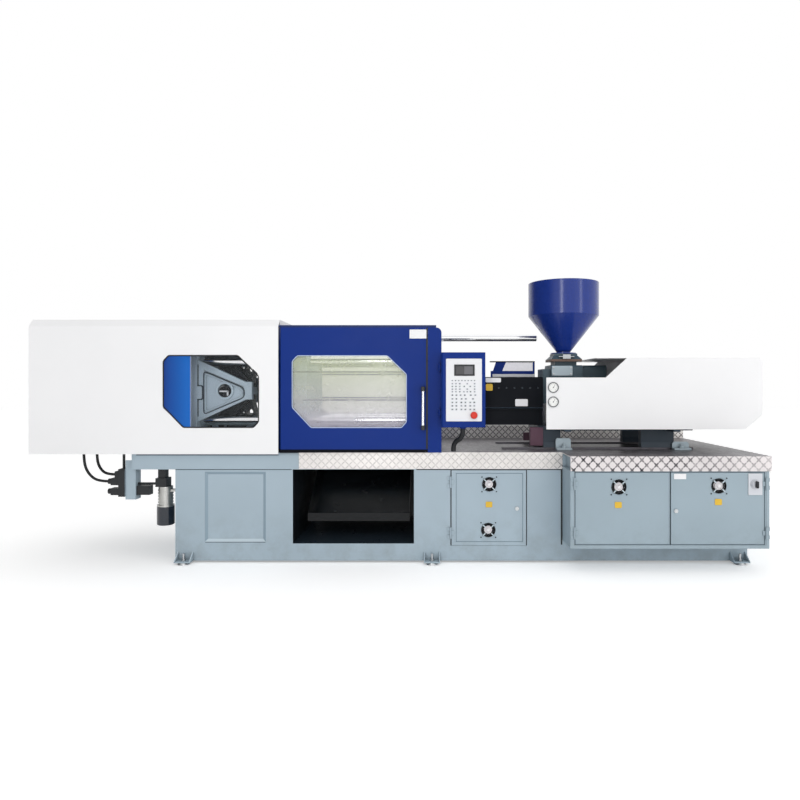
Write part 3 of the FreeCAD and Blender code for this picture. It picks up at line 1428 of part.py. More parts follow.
def screw():
    """Plasticising screw: feed, compression and metering zones, then the tip."""
    shank_end = drive_x + drive_thick + 50
    x = barrel_left + 64
    profile = [(0, 0), (screw_r - 6, 30), (screw_r - 6, 46), (screw_r - 0.3, 46),
               (screw_r - 0.3, 66), (screw_r - 3, 66), (screw_r - 3, 330), (screw_root_r, 560),
               (screw_root_r, feed_right - 30 - x), (screw_r, feed_right - 20 - x),
               (screw_r, shank_end - x), (0, shank_end - x)]
    return turned(profile, V(x, 0, axis_z), V(1, 0, 0))


# ------------------------------------------------------------ clamp end parts

def lubrication_pump():
    head = block(lube_x - 58, lube_x + 22, lube_y - 45, lube_y + 45, 537, 600)
    neck = block(lube_x - 45, lube_x + 8, lube_y - 30, lube_y + 30, 600, bed_low)
    body = joined(rod_z(lube_x, lube_y, 400, 537, 50), rod_z(lube_x, lube_y, 392, 404, 60))
    ribs = [rod_z(lube_x, lube_y, 420 + 22 * i, 426 + 22 * i, 54) for i in range(5)]
    mount = block(lube_x, base_left, lube_y - 25, lube_y + 25, 500, 516)
    return joined(head, neck), joined(body, mount, *ribs)


def lubrication_reservoir():
    tank = rod_z(lube_x, lube_y, 256, 392, 62)
    rim = [e for e in tank.Edges if abs(e.CenterOfMass.z - 256) < 0.01]
    return tank.makeFillet(10, rim)


def valve_block():
    x0, x1 = valve_bracket_x
    half = valve_post_half
    post = block(x0, x1, valve_y - half, valve_y + half, valve_bracket_low, bed_low)
    wing = block(x0 + half, x1, valve_y - 30, valve_y + 30, bed_low, bed_top - 4)
    wing = wing.cut(block(base_left - bed_overhang, x1 + 1, -cover_y, 0, 0, cover_top))
    hollow = block(x0 + 5, x1 - 5, valve_y - half - 1, valve_y + half - 5,
                   valve_bracket_low - 1, bed_low - 6)
    post = joined(post.cut(hollow), wing)
    manifold = block(x0 - 48, x0, valve_y - 50, valve_y + 70, manifold_low, manifold_high)
    bodies = [block(x0 - out, x0 - 48, valve_y - 40, valve_y + 20, z, z + 50) for z, out in valve_rows]
    coils = [rod_x(x0 - 135, x0 - out, valve_y - 10, z + 25, valve_coil_r) for z, out in valve_rows[:2]]
    bulkhead = block(bulkhead_left, base_left - bed_overhang + 60, valve_y - 30, -way_outer - 12,
                     bed_top, bed_top + 10)
    unions = [rod_z(route[0].x, route[0].y, bed_top + 10, bed_top + 60, hose_r + 6)
              for route in hose_routes.values()]
    riser = rod_z(x0 - 30, valve_y, manifold_high, bed_top, hose_r)
    bulkhead = joined(bulkhead, riser, *unions)
    right = block(x1, x1 + 95, valve_y - 30, valve_y + 30, 480, 545)
    pipe = rod_x(x1, lube_x - 58, valve_y, 559, 9)
    gallery = joined(manifold, *bodies, *coils)
    return post, gallery, right, pipe, bulkhead


# ------------------------------------------------------------ build

save("levelling_pads", *levelling_pads())
save("left_pedestal", left_pedestal())
save("drop_sill", drop_sill())
bay = bay_frame()
save("bay_frame", joined(bay, hinge_halves(bay_left, hatch_face, 1, hatch_hinge_z)))
save("oil_tank", oil_tank())
save("clamp_bed", clamp_bed())
save("deck_plate", deck_plate())
save("product_chute", product_chute())
cabinet, gear = electrical_cabinet()
save("electrical_cabinet", cabinet, gear)
save("pump_motor", *pump_motor())

save("hydraulics_door", *door_set(bay_left + 1, bay_right, bay_bottom, bay_top, hatch_face,
                                  fold_border, hatch_fans, bay_left, 1, hatch_hinge_z, hatch_lock))
save("cabinet_door_left", *door_set(left_door[0], left_door[1], cab_door_z[0], cab_door_z[1], cab_face,
                                    cab_fold, left_fans, left_door[0] - 1, 1, cab_hinge_z, None))
save("cabinet_door_right", *door_set(right_door[0], right_door[1], cab_door_z[0], cab_door_z[1],
                                     cab_face, cab_fold, right_fans, right_door[1] + 1, -1, cab_hinge_z,
                                     right_lock), switch_plate())
save("switch_knob", switch_knob())
for number, (x, z, face) in enumerate([(*hatch_fans[0], hatch_face), (*hatch_fans[1], hatch_face),
                                       (*left_fans[0], cab_face), (*right_fans[0], cab_face)], 1):
    save("fan_rotor_%d" % number, fan_rotor(x, z, face))

save("guard_posts", *guard_posts())
save("door_rails", *door_rails())
save("clamp_cover", clamp_cover())
save("clamp_window", *clamp_windows())
save("front_door", sliding_door(-1))
save("front_window", door_pane(-1))
save("front_door_handle", door_handle(-1))
save("rear_door", sliding_door(1), door_handle(1))
save("rear_window", door_pane(1))

save("fixed_platen", *fixed_platen())
save("tie_bars", *tie_bars())
save("tail_platen", *tail_platen())
save("clamp_cylinder", clamp_cylinder())
save("crosshead", crosshead())
save("moving_platen", moving_platen())
save("ejector", ejector())
save("safety_bar", safety_bar())
for name, side in (("upper", 1), ("lower", -1)):
    save(name + "_rear_link", *rear_link(side))
    save(name + "_front_link", front_link(side))
    plates, _ = cross_link_plates(side)
    save(name + "_crosshead_link", *plates)

save("controller_box", controller_box())
save("stop_button", stop_button())
save("controller_conduit", tube_along(conduit_route, conduit_r))

save("injection_rails", *injection_rails())
save("injection_carriage", *injection_carriage())
save("barrel", *barrel())
save("barrel_guard", *barrel_guard())
save("injection_cover", injection_cover())
save("pressure_gauges", *pressure_gauges())
save("hopper", hopper())
save("feed_housing", *feed_housing())
save("hopper_gate", hopper_gate())
save("screw_drive", screw_drive())
save("screw", screw())

save("lubrication_pump", *lubrication_pump())
save("lubrication_reservoir", lubrication_reservoir())
save("valve_block", *valve_block())
for name, route in hose_routes.items():
    save(name, tube_along(route, hose_r))
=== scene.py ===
# Injection moulding machine: visual model. Metres, +Z up, operator on the -Y side. Sections follow
# the machine as it is put together: base, deck, doors, clamp, guards, controller, injection unit.
import math

import bmesh
import bpy
from mathutils import Matrix, Vector


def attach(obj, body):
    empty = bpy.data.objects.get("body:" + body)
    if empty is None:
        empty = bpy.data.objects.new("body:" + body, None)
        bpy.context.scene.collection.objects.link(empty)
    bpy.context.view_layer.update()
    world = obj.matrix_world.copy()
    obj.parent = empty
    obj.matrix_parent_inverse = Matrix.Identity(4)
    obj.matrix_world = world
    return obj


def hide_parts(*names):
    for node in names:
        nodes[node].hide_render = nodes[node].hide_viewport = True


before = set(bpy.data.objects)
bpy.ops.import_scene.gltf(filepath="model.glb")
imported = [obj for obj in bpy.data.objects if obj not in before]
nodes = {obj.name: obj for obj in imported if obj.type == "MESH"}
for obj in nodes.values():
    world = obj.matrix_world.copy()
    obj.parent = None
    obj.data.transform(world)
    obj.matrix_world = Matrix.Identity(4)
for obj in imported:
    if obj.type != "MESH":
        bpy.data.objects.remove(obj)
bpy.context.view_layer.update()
bpy.context.scene.view_settings.view_transform = "Standard"


# Base and cabinet: steel sheet, folded and welded, sprayed grey-blue and stoved. It stands on six
# levelling feet, and the dirt of a workshop floor has settled on its lower part.
def srgb(code):
    """Linear colour of a hex code."""
    parts = [int(code[i:i + 2], 16) / 255 for i in (1, 3, 5)]
    return [p / 12.92 if p <= 0.04045 else ((p + 0.055) / 1.055) ** 2.4 for p in parts] + [1.0]


def add(tree, kind, inputs=None, **settings):
    """A shader node with its settings and inputs, which are values or sockets."""
    node = tree.nodes.new("ShaderNode" + kind)
    for key, value in settings.items():
        setattr(node, key, value)
    for key, value in (inputs or {}).items():
        if isinstance(value, bpy.types.NodeSocket):
            tree.links.new(value, node.inputs[key])
        else:
            node.inputs[key].default_value = value
    return node


def enamel(name, code, rough=0.45, peel=0.06, grime=0.0, tone=0.05, shine=0.4, coat=0.0,
           coat_rough=0.08, corner_shade=0.45):
    """Sprayed enamel or moulded plastic: satin, and its orange peel softens the highlights. Grime
    lies low down, and corner_shade darkens corners and creases as painted shade."""
    # Cells to a metre: clouds of tone 590 mm across, smears 110 mm and peel 3.8 mm. Real orange
    # peel is 1 to 2 mm across, and is drawn coarser, or the render loses it.
    clouds, smears, peels = 1.7, 9.0, 260.0
    grime_top, shade_reach = 0.42, 0.03
    mat = bpy.data.materials.new(name)
    mat.use_nodes = True
    tree = mat.node_tree
    shader = tree.nodes["Principled BSDF"]
    where = add(tree, "TexCoord").outputs["Object"]
    cloud = add(tree, "TexNoise", {"Vector": where, "Scale": clouds, "Detail": 3.0}).outputs["Fac"]
    fine = add(tree, "TexNoise", {"Vector": where, "Scale": peels, "Detail": 2.0}).outputs["Fac"]
    smear = add(tree, "TexNoise", {"Vector": where, "Scale": smears, "Detail": 6.0,
                                   "Roughness": 0.7}).outputs["Fac"]
    shift = add(tree, "MapRange", {"Value": cloud, "From Min": 0.3, "From Max": 0.7,
                                   "To Min": 1 - tone, "To Max": 1 + tone}).outputs["Result"]
    tint = add(tree, "MixRGB", {"Fac": 1.0, "Color1": srgb(code), "Color2": shift},
               blend_type="MULTIPLY").outputs["Color"]
    if grime:
        height = add(tree, "SeparateXYZ", {"Vector": where}).outputs["Z"]
        low = add(tree, "MapRange", {"Value": height, "From Max": grime_top,
                                     "To Min": 1.0, "To Max": 0.0}).outputs["Result"]
        patch = add(tree, "MapRange", {"Value": smear, "From Min": 0.42, "From Max": 0.75,
                                       "To Max": grime}).outputs["Result"]
        both = add(tree, "Math", {0: low, 1: patch}, operation="MULTIPLY").outputs["Value"]
        tint = add(tree, "MixRGB", {"Fac": both, "Color1": tint,
                                    "Color2": srgb("#6C6A63")}).outputs["Color"]
    # Ambient occlusion darkens the colour in corners and creases: painted shade.
    corner = add(tree, "AmbientOcclusion", {"Distance": shade_reach}, samples=6).outputs["AO"]
    corner = add(tree, "MapRange", {"Value": corner, "From Min": 0.25, "From Max": 0.85,
                                    "To Min": 1 - corner_shade}).outputs["Result"]
    tint = add(tree, "MixRGB", {"Fac": 1.0, "Color1": tint, "Color2": corner},
               blend_type="MULTIPLY").outputs["Color"]
    tree.links.new(tint, shader.inputs["Base Color"])
    gloss = add(tree, "MapRange", {"Value": smear, "From Min": 0.3, "From Max": 0.7,
                                   "To Min": rough - 0.05, "To Max": rough + 0.07}).outputs["Result"]
    tree.links.new(gloss, shader.inputs["Roughness"])
    bump = add(tree, "Bump", {"Height": fine, "Strength": peel, "Distance": 0.001}).outputs["Normal"]
    tree.links.new(bump, shader.inputs["Normal"])
    shader.inputs["Specular IOR Level"].default_value = shine
    shader.inputs["Coat Weight"].default_value = coat
    shader.inputs["Coat Roughness"].default_value = coat_rough
    return mat


def finish(mat, *names):
    """Gives whole CAD pieces one finish."""
    for name in names:
        nodes[name].data.materials[0] = mat


base_enamel = enamel("base_enamel", "#A6B7C2", rough=0.42, grime=0.35)
cabinet_enamel = enamel("cabinet_enamel", "#9CADB7", rough=0.42, grime=0.35)
finish(base_enamel, "left_pedestal", "drop_sill", "bay_frame", "clamp_bed", "hydraulics_door", "oil_tank")
finish(cabinet_enamel, "electrical_cabinet", "cabinet_door_left", "cabinet_door_right")


# Product drop: the open bay under the mould. Its walls and the bed's underside over it are
# painted near-black as painted shade, and its floor a little lighter. The chute in it is a folded
# sheet, rubbed glossy by the products that slide down, and its near-black is painted shade too.
def finish_faces(node, mat, test):
    """Gives a finish to the faces of a CAD piece whose middle and normal pass a test."""
    mesh = nodes[node].data
    mesh.materials.append(mat)
    index = len(mesh.materials) - 1
    for face in mesh.polygons:
        if test(face.center, face.normal):
            face.material_index = index


square = 0.9  # least part of a normal along an axis, for faces square to that axis
drop_left, drop_right, drop_back = -0.78, 0.11, 0.4
drop_shade_black = enamel("drop_shade_lining", "#14181C", rough=0.35, peel=0.15, tone=0.1)
finish_faces("left_pedestal", drop_shade_black, lambda c, n: n.x > square and c.x > drop_left)
finish_faces("bay_frame", drop_shade_black, lambda c, n: n.x < -square and c.x < drop_right)
floor_shade_black = enamel("drop_floor_shade", "#27313B", rough=0.3, peel=0.15, tone=0.1)
finish_faces("drop_sill", floor_shade_black, lambda c, n: n.z > square and c.y < drop_back + 0.1)
finish_faces("drop_sill", drop_shade_black, lambda c, n: n.y < -square and c.y > drop_back)
# The bed's underside over the bay: painted shade.
finish_faces("clamp_bed", drop_shade_black, lambda c, n: n.z < -square and c.x > drop_left)
finish(enamel("chute_enamel", "#0E1114", rough=0.22, peel=0.05, tone=0.1, shine=0.25), "product_chute")


# Left pedestal and bed: a panel is pressed into the pedestal's sheet. Its sloped sides are painted
# darker as painted shade, and its foot lighter as a painted highlight. The welded bed lies on the
# pedestal, with dark strips that are seam lines and painted shadow.
def plates(name, body, mat, spans, front, deep, corner=0.001, edge=0.0002):
    """Flat pieces that face the operator. A span is left, right, low and high. Front is the Y of
    their faces, deep their thickness, corner the radius in plan and edge the small round of the rim."""
    mesh = bpy.data.meshes.new(name)
    bm = bmesh.new()
    for left, right, low, high in spans:
        corners = [bm.verts.new(place) for place in ((right, front, high), (left, front, high),
                                                     (left, front, low), (right, front, low))]
        bm.faces.new(corners)
        bmesh.ops.bevel(bm, geom=corners, offset=min(corner, (right - left) / 2.05, (high - low) / 2.05),
                        offset_type="OFFSET", segments=3, profile=0.5, affect="VERTICES", material=-1)
    rim = list(bm.edges)
    grown = bmesh.ops.extrude_face_region(bm, geom=list(bm.faces), use_keep_orig=True)["geom"]
    backs = [part for part in grown if isinstance(part, bmesh.types.BMVert)]
    bmesh.ops.translate(bm, vec=(0, deep, 0), verts=backs)
    bmesh.ops.bevel(bm, geom=rim, offset=min(edge, deep * 0.4), segments=2, profile=0.5, affect="EDGES",
                    material=-1)
    bmesh.ops.recalc_face_normals(bm, faces=bm.faces)
    bm.to_mesh(mesh)
    bm.free()
    piece = bpy.data.objects.new(name, mesh)
    bpy.context.scene.collection.objects.link(piece)
    mesh.materials.append(mat)
    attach(piece, body)


base_front = -0.472
# Darker and lighter copies of the base enamel: painted shade on the panel's sloped sides, a painted
# highlight on its foot.
panel_side_shade = enamel("panel_side_shade", "#8C9FAC", rough=0.45)
panel_foot_highlight = enamel("panel_foot_highlight", "#BCCBD4", rough=0.45)
for mat, upward in ((panel_side_shade, False), (panel_foot_highlight, True)):
    finish_faces("left_pedestal", mat, lambda c, n, upward=upward: -0.98 < n.y < -0.3
                 and (n.z > 0.2) == upward and c.y < base_front + 0.012)
# Dark strips along the seam of bed and pedestal, under the cover and at the panel's foot: a seam line and
# painted shadow.
seam_shadow_line = enamel("seam_and_shadow", "#34454F", rough=0.5)
plates("bed_seam_shadow", "base", seam_shadow_line,
       [(-1.617, -0.780, 0.6675, 0.6725), (-1.900, -0.875, 0.7725, 0.7785)],
       front=base_front - 0.001, deep=0.0012)
plates("panel_lip_shadow", "base", seam_shadow_line, [(-1.404, -0.969, 0.1455, 0.1495)],
       front=base_front - 0.001, deep=0.0012)


# Deck: bright five-bar tread sheet, folded down along the front. Lens-shaped bars lie both ways
# on a square net, bolder over the cabinet. The bars are painted darker as painted shade and
# reflection on their slopes. A strip of the same sheet is welded along the top of its rear edge.
def tread(name, code, bar_shade):
    """Rolled steel tread sheet: satin metal whose bars catch the light."""
    # Bars to a metre: 25 is a pitch of 40 mm, and the bolder sheet's is 47 by 50 mm. Cells to a
    # metre: wear 200 mm across, patches 91 mm and scuffs 38 mm.
    bars, wide_bars, high_bars = 25.0, 21.4, 20.2
    wears, patches, scrapes = 5.0, 11.0, 26.0
    cabinet_start, rear_start, facing_part = 1.166, 0.3, 0.6
    mat = bpy.data.materials.new(name)
    mat.use_nodes = True
    tree = mat.node_tree
    shader = tree.nodes["Principled BSDF"]
    where = add(tree, "TexCoord").outputs["Object"]
    axes = add(tree, "SeparateXYZ", {"Vector": where})
    facing = add(tree, "SeparateXYZ", {"Vector": add(tree, "NewGeometry").outputs["Normal"]})
    side = add(tree, "Math", {0: facing.outputs["X"]}, operation="ABSOLUTE").outputs[0]
    side = add(tree, "Math", {0: side, 1: facing_part}, operation="GREATER_THAN").outputs[0]
    # The net runs over the fold: along X, and down over Y and Z together.
    down = add(tree, "Math", {0: axes.outputs["Y"], 1: axes.outputs["Z"]}, operation="ADD").outputs[0]
    front = add(tree, "CombineXYZ", {"X": axes.outputs["X"], "Y": down}).outputs["Vector"]
    end = add(tree, "CombineXYZ", {"X": axes.outputs["Y"], "Y": axes.outputs["Z"]}).outputs["Vector"]
    net = add(tree, "MixRGB", {"Fac": side, "Color1": front, "Color2": end}).outputs["Color"]
    # The bolder sheet hangs in front of the cabinet only.
    large = add(tree, "Math", {0: axes.outputs["X"], 1: cabinet_start}, operation="GREATER_THAN").outputs[0]
    ahead = add(tree, "Math", {0: facing.outputs["Y"], 1: -facing_part}, operation="LESS_THAN").outputs[0]
    near = add(tree, "Math", {0: axes.outputs["Y"], 1: rear_start}, operation="LESS_THAN").outputs[0]
    large = add(tree, "Math", {0: large, 1: ahead}, operation="MULTIPLY").outputs[0]
    large = add(tree, "Math", {0: large, 1: near}, operation="MULTIPLY").outputs[0]
    scale = add(tree, "MixRGB", {"Fac": large, "Color1": (bars, bars, 0.0, 1.0),
                                 "Color2": (wide_bars, high_bars, 0.0, 1.0)}).outputs["Color"]
    net = add(tree, "VectorMath", {0: net, 1: scale}, operation="MULTIPLY").outputs[0]
    small = add(tree, "Math", {0: 1.0, 1: large}, operation="SUBTRACT").outputs[0]
    turned = add(tree, "Mapping", {"Vector": net, "Rotation": (0, 0, math.radians(45))}).outputs["Vector"]
    heights = []
    for offset, squash in (((0.5, 0.0, 0.0), (1.7, 11.0, 0.0)), ((0.0, 0.5, 0.0), (11.0, 1.7, 0.0))):
        offset = add(tree, "VectorMath", {0: offset, "Scale": small}, operation="SCALE").outputs[0]
        cell = add(tree, "VectorMath", {0: turned, 1: offset}, operation="ADD").outputs[0]
        cell = add(tree, "VectorMath", {0: cell}, operation="FRACTION").outputs[0]
        cell = add(tree, "VectorMath", {0: cell, 1: (0.5, 0.5, 0.0)}, operation="SUBTRACT").outputs[0]
        bold = tuple(min(part, 7.0) for part in squash)
        squash = add(tree, "MixRGB", {"Fac": large, "Color1": squash + (1.0,),
                                      "Color2": bold + (1.0,)}).outputs["Color"]
        cell = add(tree, "VectorMath", {0: cell, 1: squash}, operation="MULTIPLY").outputs[0]
        reach = add(tree, "VectorMath", {0: cell}, operation="LENGTH").outputs["Value"]
        heights.append(add(tree, "MapRange", {"Value": reach, "From Min": 0.6, "From Max": 1.15,
                                              "To Min": 1.0, "To Max": 0.0},
                           interpolation_type="SMOOTHSTEP").outputs["Result"])
    bar = add(tree, "Math", {0: heights[0], 1: heights[1]}, operation="MAXIMUM").outputs[0]
    # The painted shade on the bars is strongest over the cabinet's left part and fades towards both ends.
    wear = add(tree, "TexNoise", {"Vector": where, "Scale": wears, "Detail": 5.0}).outputs["Fac"]
    dirt = add(tree, "MapRange", {"Value": wear, "From Min": 0.3, "From Max": 0.75,
                                  "To Min": 0.88, "To Max": 1.03}).outputs["Result"]
    bold = add(tree, "MapRange", {"Value": axes.outputs["X"], "From Min": 1.05, "From Max": 1.2,
                                  "To Min": 0.3}).outputs["Result"]
    fade = add(tree, "MapRange", {"Value": axes.outputs["X"], "From Min": 1.75, "From Max": 2.5,
                                  "To Min": 1.0, "To Max": 0.45}).outputs["Result"]
    uneven = add(tree, "TexNoise", {"Vector": where, "Scale": patches, "Detail": 2.0}).outputs["Fac"]
    uneven = add(tree, "MapRange", {"Value": uneven, "From Min": 0.35, "From Max": 0.6,
                                    "To Min": 0.5}).outputs["Result"]
    dark = add(tree, "Math", {0: bold, 1: fade}, operation="MULTIPLY").outputs[0]
    dark = add(tree, "Math", {0: dark, 1: uneven}, operation="MULTIPLY").outputs[0]
    behind = add(tree, "Math", {0: axes.outputs["Y"], 1: rear_start}, operation="GREATER_THAN").outputs[0]
    behind = add(tree, "Math", {0: behind, 1: side}, operation="SUBTRACT", use_clamp=True).outputs[0]
    dark = add(tree, "Math", {0: dark, 1: behind}, operation="MAXIMUM").outputs[0]
    dark = add(tree, "Math", {0: dark, 1: bar}, operation="MULTIPLY").outputs[0]
    # The bars are mixed towards the dark bar_shade colour: painted shade and reflection.
    paint = add(tree, "MixRGB", {"Fac": dark, "Color1": srgb(code), "Color2": srgb(bar_shade)}).outputs["Color"]
    paint = add(tree, "MixRGB", {"Fac": 1.0, "Color1": paint, "Color2": dirt},
                blend_type="MULTIPLY").outputs["Color"]
    # The top is scuffed and much darker than the skirts.
    top = add(tree, "Math", {0: facing.outputs["Z"], 1: facing_part}, operation="GREATER_THAN").outputs[0]
    scuffs = add(tree, "TexNoise", {"Vector": where, "Scale": scrapes, "Detail": 7.0}).outputs["Fac"]
    scuffs = add(tree, "MapRange", {"Value": scuffs, "From Min": 0.42, "From Max": 0.6}).outputs["Result"]
    scuffs = add(tree, "MixRGB", {"Fac": scuffs, "Color1": srgb("#737178"),
                                  "Color2": srgb("#9C9AA1")}).outputs["Color"]
    darker_top = add(tree, "MixRGB", {"Fac": 1.0, "Color1": paint, "Color2": scuffs},
                  blend_type="MULTIPLY").outputs["Color"]
    paint = add(tree, "MixRGB", {"Fac": top, "Color1": paint, "Color2": darker_top}).outputs["Color"]
    cool = add(tree, "MixRGB", {"Fac": 1.0, "Color1": paint, "Color2": srgb("#FBF9FD")},
               blend_type="MULTIPLY").outputs["Color"]
    paint = add(tree, "MixRGB", {"Fac": large, "Color1": paint, "Color2": cool}).outputs["Color"]
    tree.links.new(paint, shader.inputs["Base Color"])
    bump = add(tree, "Bump", {"Height": bar, "Strength": 0.8, "Distance": 0.0018}).outputs["Normal"]
    tree.links.new(bump, shader.inputs["Normal"])
    shader.inputs["Metallic"].default_value = 0.35
    shader.inputs["Roughness"].default_value = 0.36
    return mat


tread_sheet = tread("tread_sheet", "#E6E2DF", "#2E2E33")
finish(tread_sheet, "deck_plate")
plates("kick_strip", "base", tread_sheet, [(0.305, 2.534, 0.879, 0.914)], front=0.760,
       deep=0.005)


# Machined parts: platen rods, cylinders, feet and screws in turned and ground steel, hard-chromed
# bars where something slides, and zinc-plated small parts. All are left bare and lightly oiled.
def metal(name, code, rough, marks=(1.0, 40.0, 40.0), depth=0.15, stain=0.1):
    """Bare metal: fine marks along the work stretch the highlights, and old oil dulls it in spots."""
    # Cells to a metre: marks 83 mm long and 2 mm wide, far coarser than real ones, or the render
    # loses them, and oil spots 71 mm across.
    marks_long, spots_wide = 12.0, 14.0
    mat = bpy.data.materials.new(name)
    mat.use_nodes = True
    tree = mat.node_tree
    shader = tree.nodes["Principled BSDF"]
    where = add(tree, "TexCoord").outputs["Object"]
    drawn = add(tree, "Mapping", {"Vector": where, "Scale": marks}).outputs["Vector"]
    grain = add(tree, "TexNoise", {"Vector": drawn, "Scale": marks_long, "Detail": 4.0}).outputs["Fac"]
    spots = add(tree, "TexNoise", {"Vector": where, "Scale": spots_wide, "Detail": 5.0}).outputs["Fac"]
    film = add(tree, "MapRange", {"Value": spots, "From Min": 0.45, "From Max": 0.75,
                                  "To Max": stain}).outputs["Result"]
    colour = add(tree, "MixRGB", {"Fac": film, "Color1": srgb(code),
                                  "Color2": srgb("#4A463F")}).outputs["Color"]
    tree.links.new(colour, shader.inputs["Base Color"])
    gloss = add(tree, "MapRange", {"Value": grain, "From Min": 0.3, "From Max": 0.7,
                                   "To Min": rough * 0.75, "To Max": rough * 1.3}).outputs["Result"]
    tree.links.new(gloss, shader.inputs["Roughness"])
    bump = add(tree, "Bump", {"Height": grain, "Strength": depth, "Distance": 0.0005}).outputs["Normal"]
    tree.links.new(bump, shader.inputs["Normal"])
    shader.inputs["Metallic"].default_value = 1.0
    return mat


turned_steel = metal("turned_steel", "#B9BBBD", 0.34)
hard_chrome = metal("hard_chrome", "#E2E3E5", 0.12, depth=0.03, stain=0.04)
zinc_plate = metal("zinc_plate", "#C7CACC", 0.3, marks=(20.0, 20.0, 20.0), depth=0.05)
black_steel = metal("blackened_steel", "#3A4046", 0.42, stain=0.3)
finish(turned_steel, "levelling_pads", "crosshead", "ejector", "clamp_cylinder", "barrel", "screw",
       "screw_drive", "hopper_gate", "door_rails")
finish(hard_chrome, "tie_bars", "safety_bar", "front_door_handle")

# Base doors: folded steel doors on hinges, with a rubber seal round the edge. Two of the three have
# a zinc-plated key lock, the hydraulics door a rolled line drawn as a darker strip of painted shade,
# and the right one a silver switch plate.
abs_black = enamel("abs_black", "#1B1E22", rough=0.38, peel=0.12, tone=0.03)
white_plate = enamel("white_plate", "#F0F0F2", rough=0.35, peel=0.05, tone=0.02)
silver_plate = enamel("silver_plate", "#D3D6DC", rough=0.3, peel=0.05, tone=0.03)
seal_rubber = enamel("seal_rubber", "#16181B", rough=0.5)
rolled_line_shade = enamel("rolled_line_shade", "#6E818D", rough=0.5)
door_line = enamel("door_gap", "#52626D", rough=0.5)
hatch_front, cabinet_front = -0.474, -0.730
fans = (("hydraulics_door", "hatch", 0.642, 0.564, hatch_front),
        ("hydraulics_door", "hatch", 0.635, 0.235, hatch_front),
        ("cabinet_door_left", "cabinet_left", 1.499, 0.586, cabinet_front),
        ("cabinet_door_right", "cabinet_right", 2.178, 0.593, cabinet_front))
hub_reach, frame_reach, guard_reach, lock_reach = 0.034, 0.0528, 0.1, 0.0145
for door, body, x, z, front in fans:
    finish_faces(door, white_plate, lambda c, n, x=x, z=z: math.hypot(c.x - x, c.z - z) < hub_reach)
    finish_faces(door, abs_black, lambda c, n, x=x, z=z, front=front:
                 hub_reach < math.hypot(c.x - x, c.z - z) < guard_reach and (
                     math.hypot(c.x - x, c.z - z) < frame_reach
                     or not front - 0.0005 < c.y < front + 0.02))
finish(abs_black, "switch_knob")
finish_faces("switch_knob", silver_plate, lambda c, n: c.y > -0.7478)
finish_faces("cabinet_door_right", silver_plate,
             lambda c, n: abs(c.x - 2.424) < 0.0476 and abs(c.z - 0.605) < 0.0731 and c.y < -0.7285)
for door, (x, z) in (("hydraulics_door", (0.842, 0.390)), ("cabinet_door_right", (1.886, 0.423))):
    finish_faces(door, zinc_plate, lambda c, n, x=x, z=z: math.hypot(c.x - x, c.z - z) < lock_reach)

left, right, low, high, strip = 0.3655, 0.9115, 0.1255, 0.6705, 0.005
plates("hatch_seal", "hatch", seal_rubber,
       [(left, left + strip, low, high), (right - strip, right, low, high),
        (left, right, high - strip, high)], front=hatch_front - 0.0008, deep=0.0010)
# A darker strip for the rolled line: painted shade of its groove.
left, right, low, high, strip = 0.4026, 0.883, 0.151, 0.644, 0.0036
plates("hatch_swage", "hatch", rolled_line_shade,
       [(left, left + strip, low, high), (right - strip, right, low, high),
        (left, right, low, low + strip), (left, right, high - strip, high)],
       front=hatch_front + 0.0013, deep=0.0009)
low, high, strip = 0.1935, 0.6875, 0.004
for body, left, right, hinge in (("cabinet_left", 1.1995, 1.8415, 1.1995),
                                 ("cabinet_right", 1.8525, 2.4895, 2.4855)):
    plates(body + "_seal", body, door_line,
           [(hinge, hinge + strip, low, high), (left, right, low, low + strip),
            (left, right, high - strip, high)], front=cabinet_front - 0.0008, deep=0.0009)
# A black strip under the skirt's lower edge: a gap seal and the skirt's painted shadow.
plates("skirt_seal_shadow", "base", seal_rubber,
       [(0.118, 0.364, 0.6675, 0.6748), (0.365, 0.912, 0.6714, 0.6748), (0.913, 1.169, 0.6675, 0.6748)],
       front=base_front - 0.0026, deep=0.0028)
plates("step_seal", "base", seal_rubber, [(1.1575, 1.1680, 0.130, 0.670)],
       front=base_front - 0.001, deep=0.0012)

amber_plate = enamel("amber_plate", "#E3B93C", rough=0.35, peel=0.05, tone=0.02)
for name, body, x, z, front in (("hatch_amber_plate", "hatch", 0.640, 0.419, hatch_front),
                                ("left_amber_plate", "cabinet_left", 1.494, 0.464, cabinet_front),
                                ("right_amber_plate", "cabinet_right", 2.174, 0.484, cabinet_front)):
    plates(name, body, amber_plate, [(x - 0.024, x + 0.024, z - 0.021, z + 0.021)],
           front=front - 0.0007, deep=0.0013, corner=0.008, edge=0.0003)
plates("cabinet_label_plate", "cabinet_right", white_plate, [(1.872, 1.955, 0.639, 0.676)],
       front=cabinet_front - 0.0007, deep=0.0013, corner=0.003, edge=0.0003)

